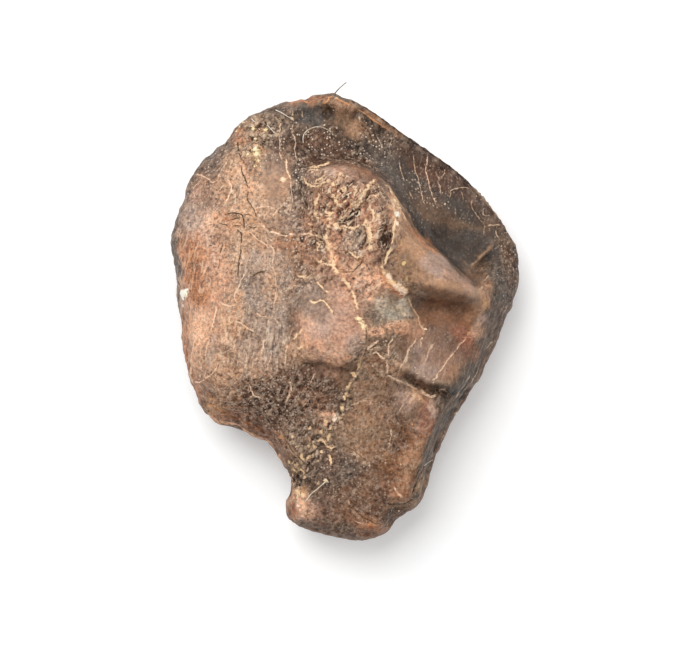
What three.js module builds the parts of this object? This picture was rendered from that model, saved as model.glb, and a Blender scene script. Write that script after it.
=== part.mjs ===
// Fossil dinosaur tooth: one shed cheek tooth, worn at the crown and broken at the root.
// It lies on its back with the crown's outer face up (+Z) and the crown's upper rim at +Y.
// Millimetres. The origin is on the table, under the middle of the footprint.
//
// The tooth is one closed solid. A ball of small triangles is laid over a plan outline, the upper
// part of the ball becomes the outer face, and the lower part becomes the sides and the underside.

import * as THREE from 'three';
import { mergeVertices } from 'three/addons/utils/BufferGeometryUtils.js';

// ---------------------------------------------------------------- driving dimensions

const WIDTH = 17.4; // side to side of the crown, X
const LENGTH = 22.3; // root break to crown rim, Y
const THICKNESS = 8.0; // table to the top of the worn boss, Z

const BALL_SPLITS = 21; // splits of each icosahedron edge, 9,680 triangles in all
const FACE_START = -0.3; // height on the unit ball where the outer face begins
const RIM_CROWDING = 1.4; // above 1 crowds the triangles towards the outline
const UNDER_ROUNDING = 2.6; // how far in from the outline the underside rounds up
const PLATE_STIFFNESS = 1.0; // how much the face resists bending between its landmarks
const FINEST = 0.26; // a little less than a triangle's edge: no step, rib or dent is drawn finer
const HIGH_SHARE = 0.35; // share of a ledge's drop that lifts its high side; the rest lowers the low side
const ROUTE_STEPS = 5; // straight steps in each span of a ledge, rib or groove
const GIRDLE_STEPS = 12; // straight steps in each span of the outline
const RIM_CLIMB = 0.2; // part of the ball's climb from the girdle that keeps its place in plan
const EVENING_PASSES = 40; // times that each inner point moves to the middle of its neighbours
const LEDGE_GRIP = 0.15; // points closer than this to a ledge's line are drawn towards it
const LEDGE_PULL = 0.5; // share of the way to the line that they move in each pass
const TURN_PASSES = 4; // times that edges are turned to the shorter diagonal
const TURN_GAIN = 0.97; // a diagonal is taken if it is shorter than this share of the edge

// ---------------------------------------------------------------- outline

// The girdle is the widest line round the tooth, walked from the top of the crown down its +X side.
// Each row holds x, y, height above the table, and how far in the outer face rounds over.
const GIRDLE = [
  // upper rim
  [-0.7, 11.1, 4.1, 0.7], [0.8, 10.55, 4.1, 0.7], [3.0, 9.05, 3.9, 0.8], [5.6, 7.25, 3.6, 0.9],
  [7.35, 5.4, 3.2, 1.0], [8.45, 3.7, 2.9, 1.1], [8.7, 2.6, 2.7, 1.2], [8.55, 1.5, 2.6, 1.4],
  // long edge that narrows to the root
  [7.8, -0.6, 2.5, 1.5], [7.25, -1.9, 2.4, 1.5], [6.1, -3.9, 2.4, 1.4], [5.1, -5.7, 2.4, 1.3],
  [4.4, -7.1, 2.4, 1.2], [4.0, -8.6, 2.4, 1.1], [3.5, -9.3, 2.4, 0.9], [2.6, -10.0, 2.4, 0.9],
  // root end
  [1.9, -10.75, 2.5, 0.9], [1.0, -11.1, 2.5, 1.0], [0.0, -11.1, 2.5, 1.1], [-1.3, -10.75, 2.5, 1.1],
  [-2.4, -10.4, 2.5, 1.0], [-2.95, -10.0, 2.6, 0.9], [-3.0, -9.4, 2.7, 0.9], [-2.75, -8.2, 2.8, 0.9],
  // notch between root and lobe
  [-3.1, -7.3, 2.9, 1.1], [-4.0, -6.15, 3.0, 1.4], [-5.3, -5.5, 3.0, 1.5], [-6.3, -5.25, 3.0, 1.5],
  [-7.1, -4.6, 2.9, 1.4], [-7.5, -3.7, 2.9, 1.3],
  // smooth lobe
  [-8.05, -1.9, 3.0, 1.2], [-8.3, 0.4, 3.0, 1.2], [-8.65, 3.2, 3.1, 1.5], [-8.6, 4.6, 3.2, 1.6],
  [-8.0, 6.3, 3.3, 1.5], [-7.3, 7.7, 3.4, 1.4], [-6.1, 8.7, 3.5, 1.2], [-5.35, 9.65, 3.7, 1.1],
  [-4.1, 10.35, 3.9, 0.9], [-2.3, 10.85, 4.0, 0.7],
];

// Middle of the plan, in sight of the whole girdle.
const HUB = new THREE.Vector2(0.6, -0.5);

// ---------------------------------------------------------------- outer face

// Places that the outer face passes near, as x, y, height. A thin plate bends smoothly through them.
const LANDMARKS = [
  // smooth lobe
  [-7.2, 6.0, 5.0], [-5.3, 8.0, 5.3], [-5.6, 4.5, 6.2], [-5.6, 1.0, 6.6], [-7.3, 1.0, 5.9],
  [-6.2, -2.5, 6.1], [-3.6, 3.0, 6.2], [-3.8, -0.5, 6.5], [-4.1, -3.3, 5.9], [-3.1, 7.5, 5.6],
  // valley between lobe and boss
  [-2.3, 5.2, 6.0], [-2.4, 1.6, 6.5],
  // hollow under the upper rim
  [-0.8, 9.2, 4.9], [1.2, 8.5, 4.7], [-2.3, 10.0, 4.8], [-0.6, 10.6, 4.6],
  // trough of enamel along the +X rim
  [3.7, 7.0, 4.4], [5.7, 5.2, 4.1], [4.9, 4.3, 4.3], [6.4, 2.9, 4.2], [7.7, 2.5, 4.1],
  // worn boss
  [-0.8, 6.5, 6.9], [0.9, 6.2, 7.5], [1.9, 4.7, 7.9], [-0.1, 4.0, 7.3], [1.7, 2.5, 7.9],
  [-0.3, 1.5, 7.4], [-1.3, -0.5, 7.4], [0.4, -1.3, 7.2],
  // flank that falls from the boss towards +X
  [3.4, 3.2, 7.7], [4.9, 2.2, 7.3], [6.4, 1.3, 6.6], [2.7, 0.6, 7.2],
  // shelf under the flank
  [4.2, -0.2, 6.4], [5.9, -0.4, 6.1], [4.7, -2.0, 6.3], [2.7, -2.0, 6.6], [7.0, -0.8, 4.9],
  // root
  [1.4, -4.0, 5.8], [4.0, -4.2, 5.5], [3.2, -6.0, 5.4], [1.2, -7.0, 5.4], [-0.8, -8.0, 5.1],
  [-1.9, -9.3, 4.7], [0.7, -9.8, 4.7], [2.7, -8.5, 5.1],
  // slope from the crown down to the notch
  [-1.3, -4.0, 5.8], [-2.3, -6.0, 4.9], [-4.8, -4.6, 5.0],
];

// Ledges: steps in the face. The low side is on the left hand of someone who walks the route.
// The step is sharp within its width and fades out over its reach on both sides.
const LEDGES = [
  // crest of the boss, which turns into the flank's upper edge
  {
    route: [
      [-2.2, 6.9], [-0.9, 7.55], [0.4, 7.5], [1.6, 6.75], [2.5, 5.6],
      [3.3, 4.0], [4.7, 2.9], [5.8, 1.7], [6.9, 1.1],
    ],
    drop: 1.9,
    width: 0.2,
    reach: 1.8,
  },
  // foot of the flank, over the shelf
  { route: [[6.9, 0.65], [5.4, 1.0], [4.0, 1.2], [2.7, 1.5]], drop: 1.3, width: 0.3, reach: 1.3 },
  // broken lip of the shelf, over the root
  { route: [[6.2, -3.2], [4.9, -3.6], [3.4, -3.2], [1.9, -2.7]], drop: 1.1, width: 0.15, reach: 1.1 },
  // soft lower edge of the boss
  { route: [[1.3, -1.3], [0.2, -2.1], [-1.3, -2.0], [-2.9, -1.5]], drop: 0.6, width: 0.3, reach: 2.0 },
  // lobe side of the boss
  {
    route: [[-2.6, -1.5], [-2.0, 1.0], [-1.1, 3.0], [-1.8, 5.3], [-2.1, 7.2]],
    drop: 0.45,
    width: 0.25,
    reach: 1.1,
  },
  // long broken side of the root
  { route: [[6.4, -2.7], [4.9, -4.6], [4.1, -6.6], [3.5, -8.6]], drop: 1.6, width: 0.15, reach: 1.0 },
  // step near the root end
  { route: [[3.4, -8.7], [1.7, -8.9]], drop: 0.4, width: 0.12, reach: 0.8 },
  // bevel along the notch
  { route: [[-2.9, -6.9], [-4.0, -5.1], [-5.6, -4.3], [-7.2, -3.4]], drop: 0.5, width: 0.25, reach: 1.0 },
  // corner where the shelf turns down to the +X side
  { route: [[7.3, 1.6], [7.2, 0.0], [6.9, -2.0]], drop: 0.6, width: 0.25, reach: 1.0 },
];

// Ribs stand up from the face, and grooves have a height below zero.
const RIBS = [
  // seam that runs from the boss down the root
  {
    route: [[1.5, -1.3], [0.6, -2.5], [0.2, -3.8], [-0.3, -5.0], [-1.1, -6.1], [-2.5, -7.5]],
    height: -0.4,
    width: 0.3,
  },
  // lip of the upper rim
  {
    route: [
      [-4.2, 9.9], [-2.4, 10.4], [-0.6, 10.6], [0.9, 10.05],
      [3.0, 8.55], [5.4, 6.8], [7.0, 5.1], [8.0, 3.5],
    ],
    height: 0.35,
    width: 0.35,
  },
  // short rib across the end of the trough
  { route: [[7.5, 3.9], [6.8, 3.1], [5.9, 2.5]], height: 0.3, width: 0.2 },
  // keel down the boss
  { route: [[2.3, 5.6], [2.5, 4.3], [2.0, 2.7], [2.6, 1.7], [3.2, 0.8]], height: 0.25, width: 0.2 },
  // groove above the root knob
  { route: [[-2.9, -7.9], [-2.1, -8.1], [-1.4, -8.2]], height: -0.35, width: 0.25 },
  // hollow under the flank
  { route: [[6.2, 0.2], [4.8, 0.55], [3.4, 0.7]], height: -0.35, width: 0.5 },
];

// Lumps and dents of the outer face: centre, radii along X and Y, and height.
const LUMPS = [
  { x: -1.9, y: -9.0, rx: 0.8, ry: 0.9, height: 0.25 }, // root knob
  { x: 0.3, y: 10.0, rx: 0.35, ry: 0.3, height: -0.3 }, // gaps between worn rim denticles
  { x: 1.15, y: 9.75, rx: 0.3, ry: 0.35, height: -0.35 },
  { x: 1.9, y: 9.3, rx: 0.35, ry: 0.4, height: -0.3 },
  { x: -5.1, y: 9.0, rx: 0.8, ry: 0.6, height: -0.3 }, // chipped shoulder of the lobe
  { x: -5.6, y: 1.5, rx: 2.6, ry: 4.0, height: 0.25 }, // swelling of the lobe
];

// ---------------------------------------------------------------- underside

// The tooth rests on a flat land at height zero. These hollows rise from it.
const UNDER_HOLLOWS = [
  { x: 0.4, y: -7.5, rx: 1.6, ry: 2.6, height: 0.9 }, // end of the pulp cavity
  { x: -1.5, y: 3.0, rx: 3.0, ry: 2.6, height: 0.5 }, // scar of the next tooth
];
const LAND_LEVEL = 0.12; // height of a hollow's fading edge that is trimmed off by the land

// ---------------------------------------------------------------- routes

// Catmull-Rom blend of four rows, taken number by number.
function blendRows(before, from, to, after, t) {
  return from.map((value, column) => {
    const slope = to[column] - before[column];
    const bend = 2 * before[column] - 5 * value + 4 * to[column] - after[column];
    const twist = 3 * value - before[column] - 3 * to[column] + after[column];
    return value + 0.5 * (slope * t + bend * t ** 2 + twist * t ** 3);
  });
}

// Smooth curve through the rows. A closed curve ends on a copy of its first row.
function smoothRows(rows, steps, closed) {
  const last = rows.length - 1;
  const pick = (i) => (closed ? rows[(i + rows.length) % rows.length] : rows[Math.min(Math.max(i, 0), last)]);
  const spans = closed ? rows.length : last;
  const curve = [];
  for (let i = 0; i < spans; i += 1) {
    for (let step = 0; step < steps; step += 1) {
      curve.push(blendRows(pick(i - 1), pick(i), pick(i + 1), pick(i + 2), step / steps));
    }
  }
  curve.push(pick(spans));
  return curve;
}

// Nearest place on a curve: its distance, side (+1 is the walker's right), run from the start,
// the curve's whole length, and the curve's own row there.
function nearestOn(curve, x, y) {
  const nearest = { distance: Infinity, side: 0, run: 0, length: 0, row: curve[0] };
  for (let i = 1; i < curve.length; i += 1) {
    const from = curve[i - 1];
    const dx = curve[i][0] - from[0];
    const dy = curve[i][1] - from[1];
    const step = Math.hypot(dx, dy);
    const t = THREE.MathUtils.clamp(((x - from[0]) * dx + (y - from[1]) * dy) / step ** 2, 0, 1);
    const offX = x - from[0] - t * dx;
    const offY = y - from[1] - t * dy;
    const distance = Math.hypot(offX, offY);
    if (distance < nearest.distance) {
      nearest.distance = distance;
      nearest.side = Math.sign(offX * dy - offY * dx);
      nearest.run = nearest.length + t * step;
      nearest.row = from.map((value, column) => THREE.MathUtils.lerp(value, curve[i][column], t));
    }
    nearest.length += step;
  }
  return nearest;
}

// 0 at both ends of a curve and 1 in its middle, so that a feature dies away at its ends.
function fadeAtEnds(place, taper) {
  const start = THREE.MathUtils.smoothstep(place.run, 0, taper);
  const end = THREE.MathUtils.smoothstep(place.length - place.run, 0, taper);
  return start * end;
}

const bell = (distance, width) => Math.exp(-((distance / width) ** 2));
const mound = (m, x, y) => m.height * bell(Math.hypot((x - m.x) / m.rx, (y - m.y) / m.ry), 1);
const withCurve = (feature) => ({ ...feature, curve: smoothRows(feature.route, ROUTE_STEPS, false) });

const girdle = smoothRows(GIRDLE, GIRDLE_STEPS, true);
const girdleRuns = girdle.reduce((runs, [x, y], i) => {
  const step = i > 0 ? Math.hypot(x - girdle[i - 1][0], y - girdle[i - 1][1]) : 0;
  return [...runs, (runs[i - 1] ?? 0) + step];
}, []);
const FIRST_TURN = Math.atan2(GIRDLE[0][1] - HUB.y, GIRDLE[0][0] - HUB.x);
const ledges = LEDGES.map(withCurve);
const ribs = RIBS.map(withCurve);

// ---------------------------------------------------------------- thin plate

// Solves a square system by elimination with pivoting. Each row ends with its right-hand value.
function solve(rows) {
  const size = rows.length;
  for (let column = 0; column < size; column += 1) {
    let pivot = column;
    for (let i = column + 1; i < size; i += 1) {
      if (Math.abs(rows[i][column]) > Math.abs(rows[pivot][column])) pivot = i;
    }
    [rows[column], rows[pivot]] = [rows[pivot], rows[column]];
    for (let i = column + 1; i < size; i += 1) {
      const factor = rows[i][column] / rows[column][column];
      for (let j = column; j <= size; j += 1) rows[i][j] -= factor * rows[column][j];
    }
  }
  const answer = new Array(size).fill(0);
  for (let i = size - 1; i >= 0; i -= 1) {
    let rest = rows[i][size];
    for (let j = i + 1; j < size; j += 1) rest -= rows[i][j] * answer[j];
    answer[i] = rest / rows[i][i];
  }
  return answer;
}

// Shape that a thin plate takes round one load, by the distance from it.
function plateBend(distance) {
  return distance > 0 ? distance ** 2 * Math.log(distance ** 2) : 0;
}

// Height of a thin plate that leans on the landmarks: their loads, then a level and two tilts.
function makePlate(landmarks) {
  const rows = landmarks.map(([x, y, height], i) => {
    const loads = landmarks.map(([otherX, otherY]) => plateBend(Math.hypot(x - otherX, y - otherY)));
    loads[i] += PLATE_STIFFNESS;
    return [...loads, 1, x, y, height];
  });
  rows.push([...landmarks.map(() => 1), 0, 0, 0, 0]);
  rows.push([...landmarks.map(([x]) => x), 0, 0, 0, 0]);
  rows.push([...landmarks.map(([, y]) => y), 0, 0, 0, 0]);
  const weights = solve(rows);
  const [level, tiltX, tiltY] = weights.slice(landmarks.length);
  return (x, y) => landmarks.reduce(
    (height, [atX, atY], i) => height + weights[i] * plateBend(Math.hypot(x - atX, y - atY)),
    level + tiltX * x + tiltY * y,
  );
}

const plateHeight = makePlate(LANDMARKS);

// ---------------------------------------------------------------- surfaces

function faceHeight(x, y) {
  let height = plateHeight(x, y);
  for (const ledge of ledges) {
    const place = nearestOn(ledge.curve, x, y);
    const share = place.side > 0 ? HIGH_SHARE : HIGH_SHARE - 1;
    const step = share * ledge.drop * (1 - bell(place.distance, Math.max(ledge.width, FINEST)));
    const taper = Math.min(1.2, 0.35 * place.length);
    height += step * bell(place.distance, ledge.reach) * fadeAtEnds(place, taper);
  }
  for (const rib of ribs) {
    const place = nearestOn(rib.curve, x, y);
    const taper = Math.min(0.8, 0.3 * place.length);
    height += rib.height * bell(place.distance, Math.max(rib.width, FINEST)) * fadeAtEnds(place, taper);
  }
  for (const lump of LUMPS) height += mound(lump, x, y);
  return height;
}

function underHeight(x, y) {
  const hollow = UNDER_HOLLOWS.reduce((height, mark) => height + mound(mark, x, y), 0);
  return Math.max(0, hollow - LAND_LEVEL);
}

// Quarter circle: 0 at the outline, 1 from the end of the rounding inwards.
function roundOver(distance, rounding) {
  const short = 1 - THREE.MathUtils.clamp(distance / rounding, 0, 1);
  return Math.sqrt(1 - short ** 2);
}

// Place on the girdle at a share of its length.
function girdleAt(share) {
  const run = share * girdleRuns[girdleRuns.length - 1];
  const next = Math.max(1, girdleRuns.findIndex((value) => value >= run));
  const t = (run - girdleRuns[next - 1]) / (girdleRuns[next] - girdleRuns[next - 1]);
  const [fromX, fromY] = girdle[next - 1];
  const [toX, toY] = girdle[next];
  return new THREE.Vector2(THREE.MathUtils.lerp(fromX, toX, t), THREE.MathUtils.lerp(fromY, toY, t));
}

// Lays a point of the unit ball out in plan. The climb is 0 at the girdle and 1 at either pole.
function layOut(point) {
  const isFace = point.z >= FACE_START;
  const climb = (point.z - FACE_START) / (isFace ? 1 - FACE_START : -1 - FACE_START);
  const spread = Math.sqrt(Math.max(0, 1 - climb ** RIM_CROWDING));
  const turn = (FIRST_TURN - Math.atan2(point.y, point.x)) / (2 * Math.PI);
  const plan = girdleAt(turn - Math.floor(turn)).sub(HUB).multiplyScalar(spread).add(HUB);
  return { isFace, climb, plan };
}

// Draws a face point that is close to a ledge towards the ledge's line, so that edges follow it.
function drawToLedge(plan) {
  for (const { curve } of ledges) {
    const { distance, row } = nearestOn(curve, plan.x, plan.y);
    if (distance < LEDGE_GRIP) plan.lerp(new THREE.Vector2(row[0], row[1]), LEDGE_PULL);
  }
}

// Evens out the plan so that the triangles are alike in size. Points near the girdle stay.
function evenOut(spots, index) {
  const neighbours = spots.map(() => new Set());
  for (let i = 0; i < index.count; i += 3) {
    const corners = [index.getX(i), index.getX(i + 1), index.getX(i + 2)];
    for (const corner of corners) {
      corners.filter((other) => other !== corner).forEach((other) => neighbours[corner].add(other));
    }
  }
  for (let pass = 0; pass < EVENING_PASSES; pass += 1) {
    spots.forEach(({ isFace, climb, plan }, i) => {
      if (climb < RIM_CLIMB) return;
      plan.set(0, 0);
      neighbours[i].forEach((other) => plan.add(spots[other].plan));
      plan.divideScalar(neighbours[i].size);
      if (isFace) drawToLedge(plan);
    });
  }
}

// Lifts a laid-out point to its height on the face or the underside.
function liftToTooth({ isFace, plan }) {
  const rim = nearestOn(girdle, plan.x, plan.y);
  const [, , rimHeight, faceRounding] = rim.row;
  const target = isFace ? faceHeight(plan.x, plan.y) : underHeight(plan.x, plan.y);
  const blend = roundOver(rim.distance, isFace ? faceRounding : UNDER_ROUNDING);
  return new THREE.Vector3(plan.x, plan.y, THREE.MathUtils.lerp(rimHeight, target, blend));
}

// True where the other diagonal makes two triangles that face the same way and fold less.
function canTurn(a, b, c, d) {
  const normalOf = (...corners) => new THREE.Triangle(...corners).getNormal(new THREE.Vector3());
  const [oldOne, oldTwo] = [normalOf(a, b, c), normalOf(b, a, d)];
  const [newOne, newTwo] = [normalOf(a, d, c), normalOf(d, b, c)];
  const facing = oldOne.clone().add(oldTwo);
  const staysUp = newOne.dot(facing) > 0.3 && newTwo.dot(facing) > 0.3;
  return staysUp && newOne.dot(newTwo) > oldOne.dot(oldTwo);
}

// Turns the edge between two triangles where the other diagonal is shorter, so that edges run
// along the ledges and not across them. Edges near the girdle stay. Gives the new corner numbers.
function turnLongEdges(corners, places, spots) {
  const triangles = [];
  for (let i = 0; i < corners.length; i += 3) triangles.push(corners.slice(i, i + 3));
  const edgeKey = (from, to) => from * places.length + to;
  for (let pass = 0; pass < TURN_PASSES; pass += 1) {
    const owners = new Map();
    triangles.forEach(([a, b, c], owner) => {
      owners.set(edgeKey(a, b), owner).set(edgeKey(b, c), owner).set(edgeKey(c, a), owner);
    });
    const turned = new Set();
    for (const [key, owner] of owners) {
      const a = Math.floor(key / places.length);
      const b = key % places.length;
      const mate = owners.get(edgeKey(b, a));
      if (a > b || turned.has(owner) || turned.has(mate)) continue;
      const c = triangles[owner].find((corner) => corner !== a && corner !== b);
      const d = triangles[mate].find((corner) => corner !== a && corner !== b);
      if ([a, b, c, d].some((corner) => spots[corner].climb < RIM_CLIMB)) continue;
      const gain = places[c].distanceTo(places[d]) / places[a].distanceTo(places[b]);
      if (gain > TURN_GAIN || owners.has(edgeKey(c, d)) || owners.has(edgeKey(d, c))) continue;
      if (!canTurn(places[a], places[b], places[c], places[d])) continue;
      triangles[owner] = [a, d, c];
      triangles[mate] = [d, b, c];
      turned.add(owner).add(mate);
    }
  }
  return triangles.flat();
}

// ---------------------------------------------------------------- tooth

// Brings the geometry to the driving dimensions, centred over the origin with its land at zero.
function fitToSize(geometry) {
  geometry.computeBoundingBox();
  const size = geometry.boundingBox.getSize(new THREE.Vector3());
  const middle = geometry.boundingBox.getCenter(new THREE.Vector3());
  geometry.translate(-middle.x, -middle.y, -geometry.boundingBox.min.z);
  geometry.scale(WIDTH / size.x, LENGTH / size.y, THICKNESS / size.z);
}

function makeTooth() {
  const ball = new THREE.IcosahedronGeometry(1, BALL_SPLITS);
  ball.deleteAttribute('normal');
  ball.deleteAttribute('uv');
  const geometry = mergeVertices(ball);
  const positions = geometry.getAttribute('position');
  const spots = [];
  for (let i = 0; i < positions.count; i += 1) {
    spots.push(layOut(new THREE.Vector3().fromBufferAttribute(positions, i).normalize()));
  }
  evenOut(spots, geometry.getIndex());
  const places = spots.map(liftToTooth);
  places.forEach((place, i) => positions.setXYZ(i, place.x, place.y, place.z));
  geometry.setIndex(turnLongEdges(Array.from(geometry.getIndex().array), places, spots));
  fitToSize(geometry);
  geometry.computeVertexNormals();
  const fossil = new THREE.MeshStandardMaterial({ color: 0x6b5547, roughness: 0.5, metalness: 0 });
  const mesh = new THREE.Mesh(geometry, fossil);
  mesh.name = 'tooth';
  return mesh;
}

const fossilTooth = new THREE.Group();
fossilTooth.add(makeTooth());

export default fossilTooth;
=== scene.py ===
"""Fossil dinosaur tooth: the finish of one shed cheek tooth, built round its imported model.

The tooth lies on its back with the crown's outer face up (+Z) and the crown's upper rim at +Y.
Every table is in millimetres, in the tooth's own frame. The meshes and the studio are in metres.
"""

import math

import bpy
import numpy as np
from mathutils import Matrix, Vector, noise


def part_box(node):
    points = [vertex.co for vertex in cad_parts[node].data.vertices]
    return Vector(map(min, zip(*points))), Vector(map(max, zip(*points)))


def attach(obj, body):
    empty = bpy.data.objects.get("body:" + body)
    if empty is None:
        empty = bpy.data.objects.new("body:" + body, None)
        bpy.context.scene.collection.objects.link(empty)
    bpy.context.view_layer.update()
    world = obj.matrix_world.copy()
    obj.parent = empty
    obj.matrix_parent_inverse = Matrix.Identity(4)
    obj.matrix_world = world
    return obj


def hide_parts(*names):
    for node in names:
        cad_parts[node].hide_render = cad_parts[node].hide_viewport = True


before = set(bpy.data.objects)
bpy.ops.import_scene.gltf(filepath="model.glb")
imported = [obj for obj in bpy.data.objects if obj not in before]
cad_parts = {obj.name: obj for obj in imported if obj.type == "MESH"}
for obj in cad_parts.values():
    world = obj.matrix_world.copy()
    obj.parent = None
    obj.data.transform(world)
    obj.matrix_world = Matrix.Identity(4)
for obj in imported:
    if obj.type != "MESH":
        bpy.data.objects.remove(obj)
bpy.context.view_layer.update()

MM = 0.001
FAR_OFF = 1e6  # stands for a distance that wasn't measured

# ---------------------------------------------------------------- main form, as in the solid

BALL_CUTS = (8, 13)  # two rounds of cuts in each face of the cube: 126 cells a side
FACE_START = -0.5  # height on the unit ball where the outer face begins
RIM_CROWDING = 1.35  # above 1 crowds the cells towards the outline
UNDER_ROUNDING = 2.6  # how far in from the outline the underside rounds up
PLATE_STIFFNESS = 1.0  # lets the plate pass a little off the landmarks, so that it bends smoothly
HIGH_SHARE = 0.35  # share of a ledge's drop that lifts its high side
SCALLOP_MIDDLE = 0.6  # keeps a scalloped ledge centred on its route
ROUTE_STEPS = 5  # straight pieces from one place of a route to the next
GIRDLE_STEPS = 12  # the same for the girdle
FADED_OUT = 3  # what is drawn on a route has faded out this many widths away
LEDGE_TAPER = (1.2, 0.35)  # fade at each end of a route: a length, or a share of a short route
RIB_TAPER = (0.8, 0.3)  # the same for ribs and grooves
HUB = (0.6, -0.5)  # plan place of the ball's two poles
LAND_LEVEL = 0.12  # the underside is flat land wherever its hollows are shallower than this

# Widest line round the tooth, from the top of the crown down its +X side:
# x, y, height above the table, how far in the outer face rounds over.
GIRDLE = [
    (-0.7, 11.1, 4.1, 0.7), (0.8, 10.55, 4.1, 0.7), (3.0, 9.05, 3.9, 0.8), (5.6, 7.25, 3.6, 0.9),
    (7.35, 5.4, 3.2, 1.0), (8.45, 3.7, 2.9, 1.1), (8.7, 2.6, 2.7, 1.2), (8.55, 1.5, 2.6, 1.4),
    (7.8, -0.6, 2.5, 1.5), (7.25, -1.9, 2.4, 1.5), (6.1, -3.9, 2.4, 1.4), (5.1, -5.7, 2.4, 1.3),
    (4.4, -7.1, 2.4, 1.2), (4.0, -8.6, 2.4, 1.1), (3.5, -9.3, 2.4, 0.9), (2.6, -10.0, 2.4, 0.9),
    (1.9, -10.75, 2.5, 0.9), (1.0, -11.1, 2.5, 1.0), (0.0, -11.1, 2.5, 1.1), (-1.3, -10.75, 2.5, 1.1),
    (-2.4, -10.4, 2.5, 1.0), (-2.95, -10.0, 2.6, 0.9), (-3.0, -9.4, 2.7, 0.9), (-2.75, -8.2, 2.8, 0.9),
    (-3.1, -7.3, 2.9, 1.1), (-4.0, -6.15, 3.0, 1.4), (-5.3, -5.5, 3.0, 1.5), (-6.3, -5.25, 3.0, 1.5),
    (-7.1, -4.6, 2.9, 1.4), (-7.5, -3.7, 2.9, 1.3), (-8.05, -1.9, 3.0, 1.2), (-8.3, 0.4, 3.0, 1.2),
    (-8.65, 3.2, 3.1, 1.5), (-8.6, 4.6, 3.2, 1.6), (-8.0, 6.3, 3.3, 1.5), (-7.3, 7.7, 3.4, 1.4),
    (-6.1, 8.7, 3.5, 1.2), (-5.35, 9.65, 3.7, 1.1), (-4.1, 10.35, 3.9, 0.9), (-2.3, 10.85, 4.0, 0.7),
]

# Places that the outer face passes near: x, y, height.
LANDMARKS = [
    # smooth lobe
    (-7.2, 6.0, 5.0), (-5.3, 8.0, 5.3), (-5.6, 4.5, 6.2), (-5.6, 1.0, 6.6), (-7.3, 1.0, 5.9),
    (-6.2, -2.5, 6.1), (-3.6, 3.0, 6.2), (-3.8, -0.5, 6.5), (-4.1, -3.3, 5.9), (-3.1, 7.5, 5.6),
    # valley between lobe and boss
    (-2.3, 5.2, 6.0), (-2.4, 1.6, 6.5),
    # hollow under the upper rim
    (-0.8, 9.2, 4.9), (1.2, 8.5, 4.7), (-2.3, 10.0, 4.8), (-0.6, 10.6, 4.6),
    # trough of enamel along the +X rim
    (3.7, 7.0, 4.4), (5.7, 5.2, 4.1), (4.9, 4.3, 4.3), (6.4, 2.9, 4.2), (7.7, 2.5, 4.1),
    # worn boss
    (-0.8, 6.5, 6.9), (0.9, 6.2, 7.5), (1.9, 4.7, 7.9), (-0.1, 4.0, 7.3), (1.7, 2.5, 7.9),
    (-0.3, 1.5, 7.4), (-1.3, -0.5, 7.4), (0.4, -1.3, 7.2),
    # flank that falls from the boss towards +X
    (3.4, 3.2, 7.7), (4.9, 2.2, 7.3), (6.4, 1.3, 6.6), (2.7, 0.6, 7.2),
    # shelf under the flank
    (4.2, -0.2, 6.4), (5.9, -0.4, 6.1), (4.7, -2.0, 6.3), (2.7, -2.0, 6.6), (7.0, -0.8, 4.9),
    # root
    (1.4, -4.0, 5.8), (4.0, -4.2, 5.5), (3.2, -6.0, 5.4), (1.2, -7.0, 5.4), (-0.8, -8.0, 5.1),
    (-1.9, -9.3, 4.7), (0.7, -9.8, 4.7), (2.7, -8.5, 5.1),
    # slope from the crown down to the notch
    (-1.3, -4.0, 5.8), (-2.3, -6.0, 4.9), (-4.8, -4.6, 5.0),
]

# Ledges: drop, width of the step, reach, scallop (depth, spacing) or None, route.
# The low side is on the left hand of someone who walks the route.
LEDGES = [
    # crest of the boss, which turns into the flank's upper edge
    (1.9, 0.2, 1.8, None, [(-2.2, 6.9), (-0.9, 7.55), (0.4, 7.5), (1.6, 6.75), (2.5, 5.6), (3.3, 4.0),
        (4.7, 2.9), (5.8, 1.7), (6.9, 1.1)]),
    # foot of the flank, over the shelf
    (1.3, 0.3, 1.3, None, [(6.9, 0.65), (5.4, 1.0), (4.0, 1.2), (2.7, 1.5)]),
    # broken lip of the shelf, over the root
    (1.1, 0.13, 1.1, (0.12, 0.42), [(6.2, -3.0), (5.6, -3.3), (4.9, -3.45), (4.1, -3.3), (3.4, -2.95),
        (2.7, -2.6), (1.9, -2.2)]),
    # soft lower edge of the boss
    (0.6, 0.22, 2.0, None, [(1.3, -1.3), (0.2, -2.1), (-1.3, -2.0), (-2.9, -1.5)]),
    # lobe side of the boss
    (0.45, 0.2, 1.1, None, [(-2.6, -1.5), (-2.0, 1.0), (-1.1, 3.0), (-1.8, 5.3), (-2.1, 7.2)]),
    # long broken side of the root
    (1.6, 0.15, 1.0, None, [(6.4, -2.7), (4.9, -4.6), (4.1, -6.6), (3.5, -8.6)]),
    # step near the root end
    (0.4, 0.1, 0.8, None, [(3.4, -8.7), (1.7, -8.9)]),
    # bevel along the notch
    (0.5, 0.25, 1.0, None, [(-2.9, -6.9), (-4.0, -5.1), (-5.6, -4.3), (-7.2, -3.4)]),
    # corner where the shelf turns down to the +X side
    (0.6, 0.25, 1.0, None, [(7.3, 1.6), (7.2, 0.0), (6.9, -2.0)]),
]

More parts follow.
